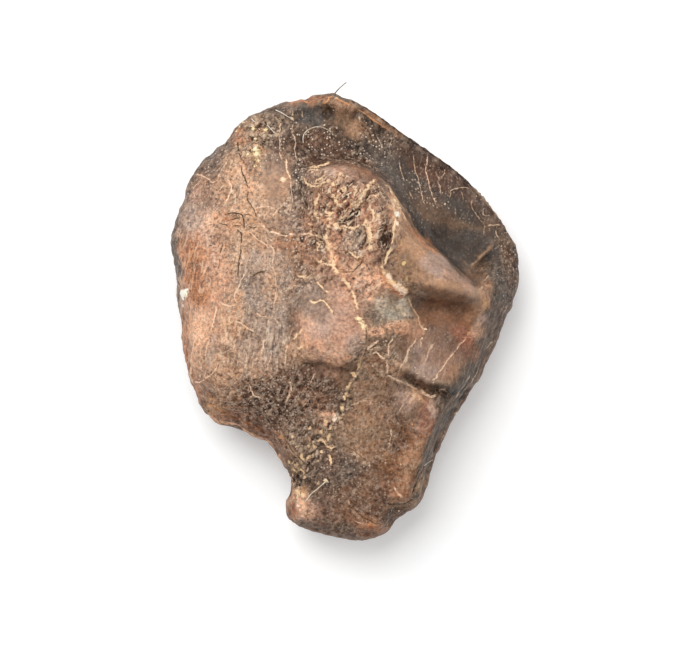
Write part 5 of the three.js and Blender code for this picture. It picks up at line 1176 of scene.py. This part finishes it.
def trace_lines(x, y, lines, upward):
    """Signed distance, presence and half width of the nearest line, and the line's number.

    The sign lets a line run between the mesh's points, so it can be finer than the cells are.
    """
    signed = np.full(x.shape, NO_LINE[0])
    width = np.full(x.shape, NO_LINE[1])
    presence = np.zeros(x.shape)
    number = np.zeros(x.shape, int)
    for index, (half_width, strength, route) in enumerate(lines):
        distance, side, run, length = nearest_on(smooth_rows(route, LINE_STEPS), x, y, LINE_SEARCH)
        closer = distance - half_width < np.abs(signed) - width
        held = smoothstep(LINE_REACH, 0.5 * LINE_REACH, distance - half_width)
        held = held * fade_at_ends(run, length, LINE_TAPER) * strength
        signed = np.where(closer, distance * side, signed)
        presence = np.where(closer, held, presence)
        width = np.where(closer, half_width, width)
        number = np.where(closer, index, number)
    return np.stack([signed, presence * upward, width], axis=1), number


def trace_spots(x, y, spots, upward):
    """Offset from the nearest spot's middle, the spot's radius, and its number.

    The offset runs on between the mesh's points, so a spot can be finer than the cells are.
    """
    offset = np.ones((len(x), 2))
    best = np.full(x.shape, FAR_OFF)
    size = np.zeros(x.shape)
    number = np.zeros(x.shape, int)
    for index, (spot_x, spot_y, radius, strength) in enumerate(spots):
        away = np.stack([x - spot_x, y - spot_y], axis=1)
        gap = np.hypot(*away.T) - radius
        closer = gap < best
        held = smoothstep(LINE_REACH, 0.5 * LINE_REACH, gap)
        offset = np.where(closer[:, None], away, offset)
        best = np.where(closer, gap, best)
        size = np.where(closer, radius * strength * held, size)
        number = np.where(closer, index, number)
    return np.column_stack([offset, size * upward]), number


def fine_relief(points, x, y, inset, habits, upward, veins, cracks):
    """Height of the fine relief along the surface's own direction, in millimetres."""
    slanted = points @ BOSS_GRAIN
    drawn_out = points * ENAMEL_GRAIN
    near_rim = 1 - smoothstep(*RIM_WAVES, inset)
    relief = np.zeros(len(points))

    # soft swellings: height, size of the features, octaves, seed, where they are read, how much of them
    for height, size, octaves, seed, places, amount in (
            (0.05, 2.2, 3, 3.1, points, 1.0),
            (0.012, 0.5, 3, 7.7, points, 1.0),
            (0.12, 0.9, 3, 9.9, points, near_rim),
            (0.14, 0.9, 3, 5.5, slanted, habits["worms"]),
            (0.04, 0.3, 3, 13.9, points, habits["grit"]),
            (0.02, 0.25, 2, 6.4, drawn_out, habits["striae"])):
        relief += height * amount * fractal(places, size, octaves, seed)

    # sharp crests: height, level of the crests, fall beside them, size, seed, where read, how much
    for height, crest, fall, size, seed, places, amount in (
            (0.07, 1.0, 2.4, 0.36, 1.3, slanted, habits["worms"]),
            (0.07, 0.5, 2.0, 0.4, 2.9, points, habits["crinkle"])):
        relief += height * amount * (crest - fall * np.abs(fractal(places, size, 2, seed)))

    # rubble: blocks with gaps between them, at uneven heights
    bent = points + BLOCK_BEND * fractal(points, 0.3, 2, 3.3)[:, None]
    gaps = cells(bent, BLOCK_SIZE, 4.2)
    blocks = BLOCK_SLOPE * np.minimum(gaps[:, 1] - gaps[:, 0], BLOCK_EDGE)
    relief += habits["rubble"] * (blocks - GAP_DEPTH + BLOCK_LIFT * fractal(points, 0.4, 3, 8.8))

    # veins stand out a little, cracks are cut in, and crumbs are low domes with a lumpy outline
    for lines, (height, spread) in ((veins, VEIN_RELIEF), (cracks, CRACK_RELIEF)):
        relief += height * lines[:, 1] * bell(lines[:, 0], lines[:, 2] + spread)
    lumpy = fractal(points, 0.22, 2, 17.3)
    for crumb_x, crumb_y, radius, _ in CRUMBS:
        gap = np.hypot(x - crumb_x, y - crumb_y) * (1 + CRUMB_LUMPS[0] * lumpy)
        dome = np.sqrt(np.clip(1 - (gap / radius) ** 2, 0, 1))
        relief += upward * CRUMB_HEIGHT * radius * dome * (1 + CRUMB_LUMPS[1] * lumpy)
    return relief


def smooth_over(mesh, values, passes):
    """Replaces each point's values by the mean of its neighbours', pass after pass."""
    edges = np.empty(len(mesh.edges) * 2, np.int32)
    mesh.edges.foreach_get("vertices", edges)
    one, other = edges.reshape(-1, 2).T
    count = np.bincount(edges, minlength=len(values))
    for _ in range(passes):
        total = np.zeros_like(values)
        for column in range(values.shape[1]):
            total[:, column] = np.bincount(one, values[other, column], len(values))
            total[:, column] += np.bincount(other, values[one, column], len(values))
        values = total / count[:, None]
    return values


def store(mesh, name, values):
    """Saves a value, a vector or a colour for every point of the mesh."""
    kind, field = ("FLOAT", "value") if values.ndim == 1 else ("FLOAT_VECTOR", "vector")
    layer = mesh.attributes.new(name, kind, "POINT")
    layer.data.foreach_set(field, values.astype(np.float32).ravel())


def make_tooth():
    """The whole tooth, with its colours, marks and habits saved on the mesh for the material."""
    tooth = make_cube()
    mesh = tooth.data
    tooth.name = mesh.name = "tooth_finish"
    points, x, y, is_face, inset = form_tooth(blow_up(read_vectors(mesh.vertices, "co")))
    normals = write_points(mesh, points)
    top = np.where(is_face, smoothstep(*STAINED_SLOPES, normals[:, 2]), 0.0)
    upward = np.where(is_face, smoothstep(*WORN_SLOPES, normals[:, 2]), 0.0)
    wander_x, wander_y = fractal(points, *WANDER, 12.1), fractal(points, *WANDER, 15.6)
    jitter = fractal(points, *JITTER, 21.7)
    ragged = PATCH_JITTER * jitter

    habits = spread_habits(x + FINISH_WANDER * wander_x, y + FINISH_WANDER * wander_y, ragged, upward)
    colour = lay_stains_and_shade(x + STAIN_WANDER * wander_x, y + STAIN_WANDER * wander_y, inset, ragged, top)
    lay_crumbs(colour, x, y, jitter, upward)
    line_x = x + LINE_WANDER * wander_x + LINE_JITTER * jitter
    line_y = y + LINE_WANDER * wander_y - LINE_JITTER * jitter
    vein_rows, vein_tints = rows_and_tints(VEINS)
    veins, nearest_vein = trace_lines(line_x, line_y, vein_rows, upward)
    spot_rows, spot_tints = rows_and_tints(SPOTS)
    spots, nearest_spot = trace_spots(x, y, spot_rows, upward)
    cracks, _ = trace_lines(line_x, line_y, CRACKS, upward)

    relief = fine_relief(points, x, y, inset, habits, upward, veins, cracks)[:, None]
    points = points + normals * relief
    points[:, 2] = np.maximum(points[:, 2], 0.0)
    normals = write_points(mesh, points)
    fine = relief - smooth_over(mesh, relief, FINE_PASSES)
    broad = (points - smooth_over(mesh, points, BROAD_PASSES)) * normals
    layers = {
        "ground": colour, "crack": cracks, "vein": veins, "vein_tint": vein_tints[nearest_vein],
        "spot": spots, "spot_tint": spot_tints[nearest_spot],
        "fine_relief": fine[:, 0], "broad_relief": broad.sum(1),
    }
    for name, values in (layers | habits).items():
        store(mesh, name, values)
    bpy.ops.object.select_all(action="DESELECT")
    tooth.select_set(True)
    bpy.context.view_layer.objects.active = tooth
    bpy.ops.object.shade_smooth()
    return tooth


def lay_fibre(tooth, thickness, arch, route):
    """One hair that lies on the tooth: a round thread along the route, laid on by casting rays down."""
    ways = smooth_rows(route, FIBRE_STEPS)
    bpy.ops.object.select_all(action="DESELECT")
    bpy.ops.curve.primitive_nurbs_path_add()
    fibre = bpy.context.object
    curve = fibre.data
    curve.splines.clear()
    spline = curve.splines.new("POLY")
    spline.points.add(len(ways) - 1)
    height = 0.0
    for index, (x, y) in enumerate(ways):
        hit, spot, _, _ = tooth.ray_cast(Vector((x * MM, y * MM, RAY_START)), Vector((0, 0, -1)))
        height = spot.z if hit else height
        rise = arch * math.sin(math.pi * index / (len(ways) - 1))
        lift = (FIBRE_REST * thickness + rise) * MM
        spline.points[index].co = (x * MM, y * MM, height + lift, 1)
        spline.points[index].radius = 1.0 - FIBRE_THINNING * index / len(ways)
    curve.dimensions = "3D"
    curve.bevel_depth = thickness / 2 * MM
    curve.bevel_resolution = 1
    curve.use_fill_caps = True
    bpy.ops.object.convert(target="MESH")
    return bpy.context.object


def make_lint(tooth, tone):
    """All the fibres of one tone, as one mesh."""
    fibres = [lay_fibre(tooth, *sizes, route) for *sizes, look, route in FIBRES if look == tone]
    bpy.ops.object.select_all(action="DESELECT")
    for fibre in fibres:
        fibre.select_set(True)
    bpy.context.view_layer.objects.active = fibres[0]
    bpy.ops.object.join()
    lint = bpy.context.object
    lint.name = tone + "_lint"
    lint.data.name = lint.name
    bpy.ops.object.shade_smooth()
    return lint


# ---------------------------------------------------------------- materials

MATH, RANGE, BLEND = "ShaderNodeMath", "ShaderNodeMapRange", "ShaderNodeMix"
NOISE, CELLS, ATTRIBUTE = "ShaderNodeTexNoise", "ShaderNodeTexVoronoi", "ShaderNodeAttribute"
SPLIT, VECTOR_MATH, TURN = "ShaderNodeSeparateXYZ", "ShaderNodeVectorMath", "ShaderNodeMapping"


def add_node(tree, kind, settings, output=None):
    """Adds a node and hands back one of its outputs, the first in use unless another is named.

    A setting is a property by its name, or an input by its name or number. An input takes a plain
    value or the output of another node.
    """
    node = tree.nodes.new(kind)
    for name, value in settings.items():
        if isinstance(value, bpy.types.NodeSocket):
            tree.links.new(value, node.inputs[name])
        elif isinstance(name, int) or name in node.inputs:
            node.inputs[name].default_value = value
        else:
            setattr(node, name, value)
    if output:
        return node.outputs[output]
    return next((socket for socket in node.outputs if socket.enabled), None)


def per_metre(size_mm):
    """Noise scale that makes features of that size on Object coordinates."""
    return 1 / (size_mm * MM)


def opaque(tint):
    """Linear red, green and blue as the colour that a node takes."""
    return (*tint, 1)


def blank_material(name):
    material = bpy.data.materials.new(name)
    material.use_nodes = True
    tree = material.node_tree
    tree.nodes.clear()
    return material, tree


def lay_over(tree, colour, layers):
    """Lays tints over a colour, one after another. A layer is a blend, its share and its tint.

    The tint of MIX is a colour. The tints of MULTIPLY and SCREEN say how much of each part of the
    light they keep or add.
    """
    for blend, share, tint in layers:
        if not isinstance(tint, bpy.types.NodeSocket):
            tint = opaque(tint)
        colour = add_node(tree, BLEND, {
            "data_type": "RGBA", "blend_type": blend, 0: share, 6: colour, 7: tint})
    return colour


def line_share(tree, name, wiggle, swell):
    """Share of a traced line at each place of the surface, from its stored distance and width."""
    line = add_node(tree, ATTRIBUTE, {"attribute_name": name}, "Vector")
    split = add_node(tree, SPLIT, {0: line}).node.outputs
    shifted = add_node(tree, MATH, {"operation": "MULTIPLY_ADD", 0: wiggle, 1: 0.1, 2: split[0]})
    distance = add_node(tree, MATH, {"operation": "ABSOLUTE", 0: shifted})
    width = add_node(tree, MATH, {"operation": "MULTIPLY", 0: split[2], 1: swell})
    ratio = add_node(tree, MATH, {"operation": "DIVIDE", 0: distance, 1: width})
    return add_node(tree, RANGE, {
        "interpolation_type": "SMOOTHSTEP", 0: ratio, 1: 1.5, 2: 0.5, 3: 0.0, 4: split[1]})


def spot_share(tree, fray):
    """Share of a traced spot at each place of the surface, with a ragged outline."""
    spot = add_node(tree, ATTRIBUTE, {"attribute_name": "spot"}, "Vector")
    radius = add_node(tree, SPLIT, {0: spot}).node.outputs[2]
    ragged = add_node(tree, VECTOR_MATH, {"operation": "SUBTRACT", 0: fray, 1: (0.5, 0.5, 0.5)})
    offset = add_node(tree, VECTOR_MATH, {
        "operation": "MULTIPLY_ADD", 0: ragged, 1: (0.2, 0.2, 0.0), 2: spot})
    offset = add_node(tree, VECTOR_MATH, {"operation": "MULTIPLY", 0: offset, 1: (1.0, 1.0, 0.0)})
    distance = add_node(tree, VECTOR_MATH, {"operation": "LENGTH", 0: offset}, "Value")
    inside = add_node(tree, MATH, {"operation": "SUBTRACT", 0: radius, 1: distance})
    return add_node(tree, RANGE, {0: inside, 1: 0.0, 2: 0.03})


def off_middle(tree, wave):
    """How far a noise lies from its middle, which is near 0 along thin winding lines."""
    swing = add_node(tree, MATH, {"operation": "SUBTRACT", 0: wave, 1: 0.5})
    return add_node(tree, MATH, {"operation": "ABSOLUTE", 0: swing})


def pore_ridges(tree, place, bent, patchy, worms):
    """Light winding ridges between the pores of worn dentine, its dark pits, and painted glints of light
    along the grain.
    """
    along_grain = add_node(tree, TURN, {
        "vector_type": "TEXTURE", "Vector": bent, "Rotation": (0, 0, -0.7), "Scale": (1.0, 2.6, 1.0)})
    folds = add_node(tree, NOISE, {
        "Vector": along_grain, "Scale": per_metre(0.22), "Detail": 1.5, "Roughness": 0.5})
    off_fold = off_middle(tree, folds)
    zones = add_node(tree, NOISE, {"Vector": place, "Scale": per_metre(0.9), "Detail": 2.0})
    pit_amount = add_node(tree, RANGE, {0: zones, 1: 0.36, 2: 0.56, 3: 0.0, 4: worms})
    ridge_amount = add_node(tree, RANGE, {0: patchy, 1: 0.42, 2: 0.58, 3: 0.0, 4: pit_amount})
    ridge = add_node(tree, RANGE, {
        "interpolation_type": "SMOOTHSTEP", 0: off_fold, 1: 0.04, 2: 0.01, 3: 0.0, 4: ridge_amount})
    pit = add_node(tree, RANGE, {
        "interpolation_type": "SMOOTHSTEP", 0: off_fold, 1: 0.07, 2: 0.15, 3: 0.0, 4: pit_amount})
    glints = add_node(tree, NOISE, {
        "Vector": along_grain, "Scale": per_metre(0.15), "Detail": 1.0, "Roughness": 0.6})
    painted_glint = add_node(tree, RANGE, {0: glints, 1: 0.56, 2: 0.63, 3: 0.0, 4: pit_amount})
    return ridge, pit, painted_glint


def mineral_threads(tree, place, bent, crinkle):
    """Crinkled threads of mineral, with gaps in them."""
    threads = add_node(tree, NOISE, {
        "Vector": bent, "Scale": per_metre(0.24), "Detail": 2.0, "Roughness": 0.6})
    gaps = add_node(tree, NOISE, {"Vector": place, "Scale": per_metre(0.4), "Detail": 2.0})
    amount = add_node(tree, RANGE, {0: gaps, 1: 0.48, 2: 0.6, 3: 0.0, 4: crinkle})
    return add_node(tree, RANGE, {
        "interpolation_type": "SMOOTHSTEP", 0: off_middle(tree, threads), 1: 0.06, 2: 0.015,
        3: 0.0, 4: amount})


def growth_dashes(tree, place, striae):
    """Short dashes along the enamel's growth, light ones and dark ones."""
    flow = add_node(tree, TURN, {
        "vector_type": "TEXTURE", "Vector": place, "Rotation": (0, 0, -0.22), "Scale": (1.0, 5.0, 1.0)})
    growth = add_node(tree, NOISE, {
        "Vector": flow, "Scale": per_metre(0.13), "Detail": 1.0, "Roughness": 0.5})
    dash = add_node(tree, RANGE, {0: growth, 1: 0.59, 2: 0.68, 3: 0.0, 4: striae})
    furrow = add_node(tree, RANGE, {0: growth, 1: 0.4, 2: 0.3, 3: 0.0, 4: striae})
    return dash, furrow


def mineral_specks(tree, place, drift, speckle):
    """Light mineral specks, in swarms, made bright enough to stand in part for painted glints."""
    swarm = add_node(tree, RANGE, {0: drift, 1: 0.35, 2: 0.6, 3: 0.35, 4: 1.0})
    amount = add_node(tree, MATH, {"operation": "MULTIPLY", 0: speckle, 1: swarm})
    grains = add_node(tree, CELLS, {"Vector": place, "Scale": per_metre(0.15)}).node.outputs
    lot = add_node(tree, SPLIT, {0: grains["Color"]})
    drawn = add_node(tree, RANGE, {0: lot, 1: 0.3, 2: 0.6, 3: 0.0, 4: amount})
    return add_node(tree, RANGE, {0: grains["Distance"], 1: 0.36, 2: 0.2, 3: 0.0, 4: drawn})


def sediment_crust(tree, bent, patchy, rubble):
    """Crumbly crust, and the dark gaps in it."""
    lumps = add_node(tree, CELLS, {"Vector": bent, "Scale": per_metre(0.2)}).node.outputs
    lot = add_node(tree, SPLIT, {0: lumps["Color"]})
    amount = add_node(tree, RANGE, {0: patchy, 1: 0.42, 2: 0.56, 3: 0.15, 4: rubble})
    amount = add_node(tree, MATH, {"operation": "MINIMUM", 0: amount, 1: rubble})
    crust = add_node(tree, RANGE, {0: lot, 1: 0.35, 2: 0.8, 3: 0.0, 4: amount})
    gap = add_node(tree, RANGE, {0: lumps["Distance"], 1: 0.4, 2: 0.75, 3: 0.0, 4: rubble})
    return crust, gap


def veins_and_cracks(tree, place, sand):
    """Healed veins and their rusty borders, then open cracks and their stained lips."""
    wobble = add_node(tree, NOISE, {
        "Vector": place, "Scale": per_metre(0.22), "Detail": 2.0, "Roughness": 0.6})
    wiggle = add_node(tree, MATH, {"operation": "SUBTRACT", 0: wobble, 1: 0.5})
    swell = add_node(tree, RANGE, {0: sand, 1: 0.35, 2: 0.65, 3: 0.45, 4: 1.4})
    thin_swell = add_node(tree, MATH, {"operation": "MULTIPLY", 0: swell, 1: 0.65})
    wide_swell = add_node(tree, MATH, {"operation": "MULTIPLY", 0: swell, 1: 3.5})
    vein_break = add_node(tree, RANGE, {0: wobble, 1: 0.36, 2: 0.5, 3: 0.3, 4: 1.0})
    crack_break = add_node(tree, RANGE, {0: wobble, 1: 0.38, 2: 0.5, 3: 0.4, 4: 1.0})
    return [
        add_node(tree, MATH, {"operation": "MULTIPLY", 0: line_share(tree, name, wiggle, wide), 1: amount})
        for name, wide, amount in (("vein", swell, vein_break), ("vein", wide_swell, 0.45),
                                   ("crack", thin_swell, crack_break), ("crack", wide_swell, 0.5))]


def make_mineralised_tooth():
    """Phosphate fossil: enamel and dentine whose pores iron and manganese have filled.

    The eye sees warm tans where the enamel is clean, rust where iron sits, near black where
    manganese does, and a low polish on the enamel that the worn dentine has lost.
    """
    material, tree = blank_material("mineralised_enamel_and_dentine")
    place = add_node(tree, "ShaderNodeTexCoord", {}, "Object")
    ground, vein_tint, spot_tint = [
        add_node(tree, ATTRIBUTE, {"attribute_name": name}, "Color")
        for name in ("ground", "vein_tint", "spot_tint")]
    grit, worms, speckle, crinkle, striae, gloss, rubble, fine, broad = [
        add_node(tree, ATTRIBUTE, {"attribute_name": name}, "Fac")
        for name in HABITS + ("fine_relief", "broad_relief")]
    warp = add_node(tree, NOISE, {"Vector": place, "Scale": per_metre(0.5), "Detail": 2.0}, "Color")
    bent = add_node(tree, VECTOR_MATH, {
        "operation": "MULTIPLY_ADD", 0: warp, 1: (0.4 * MM, 0.4 * MM, 0.4 * MM), 2: place})
    patchy = add_node(tree, NOISE, {"Vector": place, "Scale": per_metre(0.42), "Detail": 2.0})

    # clouds of stain, a drift between rust and grey, and the grain of the mineral
    clouds = add_node(tree, NOISE, {
        "Vector": place, "Scale": per_metre(1.1), "Detail": 3.0, "Roughness": 0.6})
    cloud_share = add_node(tree, RANGE, {0: clouds, 1: 0.3, 2: 0.7, 3: 0.68, 4: 1.32})
    drift = add_node(tree, NOISE, {
        "Vector": bent, "Scale": per_metre(0.6), "Detail": 4.0, "Roughness": 0.6})
    drift_share = add_node(tree, RANGE, {0: drift, 1: 0.3, 2: 0.7})
    tone = lay_over(tree, (1.08, 0.99, 0.9, 1), [("MIX", drift_share, (0.94, 0.99, 1.03))])
    sand = add_node(tree, NOISE, {
        "Vector": place, "Scale": per_metre(0.14), "Detail": 2.0, "Roughness": 0.7})
    sand_light = add_node(tree, RANGE, {0: sand, 1: 0.3, 2: 0.7})
    sand_swing = add_node(tree, RANGE, {0: sand, 1: 0.3, 2: 0.7, 3: -1.0, 4: 1.0})
    sand_tone = lay_over(tree, (0.28, 0.28, 0.3, 1), [("MIX", sand_light, (2.1, 1.93, 1.72))])
    sand_amount = add_node(tree, MATH, {"operation": "MULTIPLY_ADD", 0: grit, 1: 0.7, 2: 0.22})
    flecks = add_node(tree, NOISE, {
        "Vector": bent, "Scale": per_metre(0.15), "Detail": 2.0, "Roughness": 0.7})
    dark_fleck = add_node(tree, RANGE, {0: flecks, 1: 0.42, 2: 0.36, 3: 0.0, 4: grit})
    colour = lay_over(tree, ground, [
        ("MULTIPLY", 1.0, cloud_share), ("MULTIPLY", 1.0, tone), ("MULTIPLY", sand_amount, sand_tone),
        ("MULTIPLY", dark_fleck, (0.26, 0.23, 0.22))])

    # painted shade darkens the recesses and painted highlight lightens the ridges and crests, standing in
    # part for dark film and wear
    low = add_node(tree, RANGE, {0: fine, 1: 0.0, 2: -0.03})
    high = add_node(tree, RANGE, {0: fine, 1: 0.0, 2: 0.035, 3: 0.0, 4: 0.5})
    painted_hollow_shade = add_node(tree, RANGE, {0: broad, 1: -0.01, 2: -0.14, 3: 0.0, 4: 0.8})
    crest = add_node(tree, RANGE, {0: broad, 1: 0.01, 2: 0.12, 3: 0.0, 4: 0.22})
    colour = lay_over(tree, colour, [
        ("MULTIPLY", low, (0.36, 0.34, 0.33)), ("SCREEN", high, (0.4, 0.29, 0.21)),
        ("MULTIPLY", painted_hollow_shade, (0.48, 0.44, 0.42)), ("SCREEN", crest, (0.38, 0.25, 0.17))])

    # what the surface habits draw
    ridge, pit, painted_glint = pore_ridges(tree, place, bent, patchy, worms)
    thread = mineral_threads(tree, place, bent, crinkle)
    dash, furrow = growth_dashes(tree, place, striae)
    speck_and_glint = mineral_specks(tree, place, drift, speckle)
    crust, gap = sediment_crust(tree, bent, patchy, rubble)
    # the glints, and part of the specks' brightness, are painted highlight
    colour = lay_over(tree, colour, [
        ("MULTIPLY", pit, (0.38, 0.32, 0.29)), ("MIX", ridge, GRAIN_TINTS["ridge"]),
        ("MIX", painted_glint, GRAIN_TINTS["painted_glint"]), ("MIX", thread, GRAIN_TINTS["thread"]),
        ("MULTIPLY", furrow, (0.62, 0.61, 0.62)), ("SCREEN", dash, (0.32, 0.23, 0.16)),
        ("MIX", speck_and_glint, GRAIN_TINTS["speck_and_glint"]), ("MIX", crust, GRAIN_TINTS["crust"]),
        ("MULTIPLY", gap, (0.25, 0.2, 0.17))])

    # lines and spots, which cover all the rest
    vein, rust, crack, lip = veins_and_cracks(tree, place, sand)
    fray = add_node(tree, NOISE, {"Vector": place, "Scale": per_metre(0.14), "Detail": 1.0}, "Color")
    colour = lay_over(tree, colour, [
        ("MULTIPLY", rust, (0.92, 0.76, 0.62)), ("SCREEN", lip, (0.3, 0.16, 0.08)),
        ("MIX", vein, vein_tint), ("MIX", crack, GRAIN_TINTS["crack"]),
        ("MIX", spot_share(tree, fray), spot_tint)])

    # height of what is finer than the mesh, in millimetres
    gritty = add_node(tree, MATH, {"operation": "MULTIPLY", 0: sand_swing, 1: grit})
    height = 0.0
    for amount, layer in (
            (0.006, sand_swing), (0.012, gritty), (0.03, ridge), (-0.03, pit), (0.015, thread),
            (0.012, dash), (-0.012, furrow), (0.015, speck_and_glint), (0.012, vein), (-0.04, crack),
            (-0.04, gap), (0.02, painted_glint)):
        height = add_node(tree, MATH, {"operation": "MULTIPLY_ADD", 0: layer, 1: amount, 2: height})
    bump = add_node(tree, "ShaderNodeBump", {"Strength": 1.0, "Distance": MM, "Height": height})

    roughness = add_node(tree, MATH, {"operation": "MULTIPLY_ADD", 0: gloss, 1: -0.42, 2: 0.72})
    roughness = add_node(tree, MATH, {"operation": "MULTIPLY_ADD", 0: sand_swing, 1: 0.06, 2: roughness})
    shader = add_node(tree, "ShaderNodeBsdfPrincipled", {
        "Base Color": colour, "Roughness": roughness, "Normal": bump,
        "IOR": 1.5, "Specular IOR Level": 0.22})
    add_node(tree, "ShaderNodeOutputMaterial", {"Surface": shader})
    return material


def make_fibre_cloth(name, low, high):
    """Cotton lint: dull fibre whose tone wanders along it, so it reads as fluff and not as wire."""
    material, tree = blank_material(name)
    place = add_node(tree, "ShaderNodeTexCoord", {}, "Object")
    twist = add_node(tree, NOISE, {"Vector": place, "Scale": per_metre(0.2), "Detail": 2.0})
    share = add_node(tree, RANGE, {0: twist, 1: 0.35, 2: 0.65})
    colour = lay_over(tree, opaque(linear(low)), [("MIX", share, linear(high))])
    shader = add_node(tree, "ShaderNodeBsdfPrincipled", {
        "Base Color": colour, "Roughness": 0.8, "Sheen Weight": 0.3})
    add_node(tree, "ShaderNodeOutputMaterial", {"Surface": shader})
    return material


def make_paper():
    """Matt studio card on a light table: near white, no gloss, and a faint glow that thins the shadows."""
    material, tree = blank_material("studio_card")
    shader = add_node(tree, "ShaderNodeBsdfPrincipled", {
        "Base Color": (0.9, 0.9, 0.9, 1), "Roughness": 0.9,
        "Emission Color": (1, 1, 1, 1), "Emission Strength": 0.15})
    add_node(tree, "ShaderNodeOutputMaterial", {"Surface": shader})
    return material


# ---------------------------------------------------------------- studio, in metres and watts

LAMPS = {  # place, side of the square, power
    "key": ((-0.05, 0.09, 0.17), 0.13, 0.315),
    "fill": ((0.12, -0.03, 0.16), 0.12, 0.04),
}
SKY_STRENGTH = 0.5
FLOOR_SIZE = 1.2
FLOOR_DROP = 0.02 * MM  # keeps the card clear of the land that the tooth rests on
LENS, SENSOR = 90, 36  # millimetres
VIEW_WIDTH = 0.035  # what the camera sees side to side, at the level of the tooth's widest line
VIEW_MIDDLE = (0.00018, -0.00043)
VIEW_LEVEL = 0.003


def make_studio():
    bpy.ops.object.select_all(action="DESELECT")
    bpy.ops.mesh.primitive_plane_add(size=FLOOR_SIZE, location=(0, 0, -FLOOR_DROP))
    floor = bpy.context.object
    floor.name = "studio_floor"
    floor.data.materials.append(make_paper())
    for name, (place, size, power) in LAMPS.items():
        lamp = bpy.data.lights.new(name, "AREA")
        lamp.size = size
        lamp.energy = power
        holder = bpy.data.objects.new(name, lamp)
        bpy.context.scene.collection.objects.link(holder)
        holder.location = place
        holder.rotation_euler = (-Vector(place)).to_track_quat("-Z", "Y").to_euler()
    world = bpy.data.worlds.new("soft_sky")
    bpy.context.scene.world = world
    world.use_nodes = True
    sky = world.node_tree.nodes["Background"].inputs
    sky["Color"].default_value = (1, 1, 1, 1)
    sky["Strength"].default_value = SKY_STRENGTH
    lens = bpy.data.cameras.new("camera")
    lens.lens = LENS
    lens.sensor_width = SENSOR
    lens.clip_start = MM
    camera = bpy.data.objects.new("camera", lens)
    bpy.context.scene.collection.objects.link(camera)
    camera.location = (*VIEW_MIDDLE, VIEW_WIDTH * LENS / SENSOR + VIEW_LEVEL)
    bpy.context.scene.camera = camera
    bpy.context.scene.view_settings.view_transform = "Standard"


make_studio()
tooth = make_tooth()
tooth.data.materials.append(make_mineralised_tooth())
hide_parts("tooth")
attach(tooth, "root")
for tone, (low, high) in COTTON_TONES.items():
    lint = make_lint(tooth, tone)
    lint.data.materials.append(make_fibre_cloth(tone + "_cotton_lint", low, high))
    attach(lint, "root")
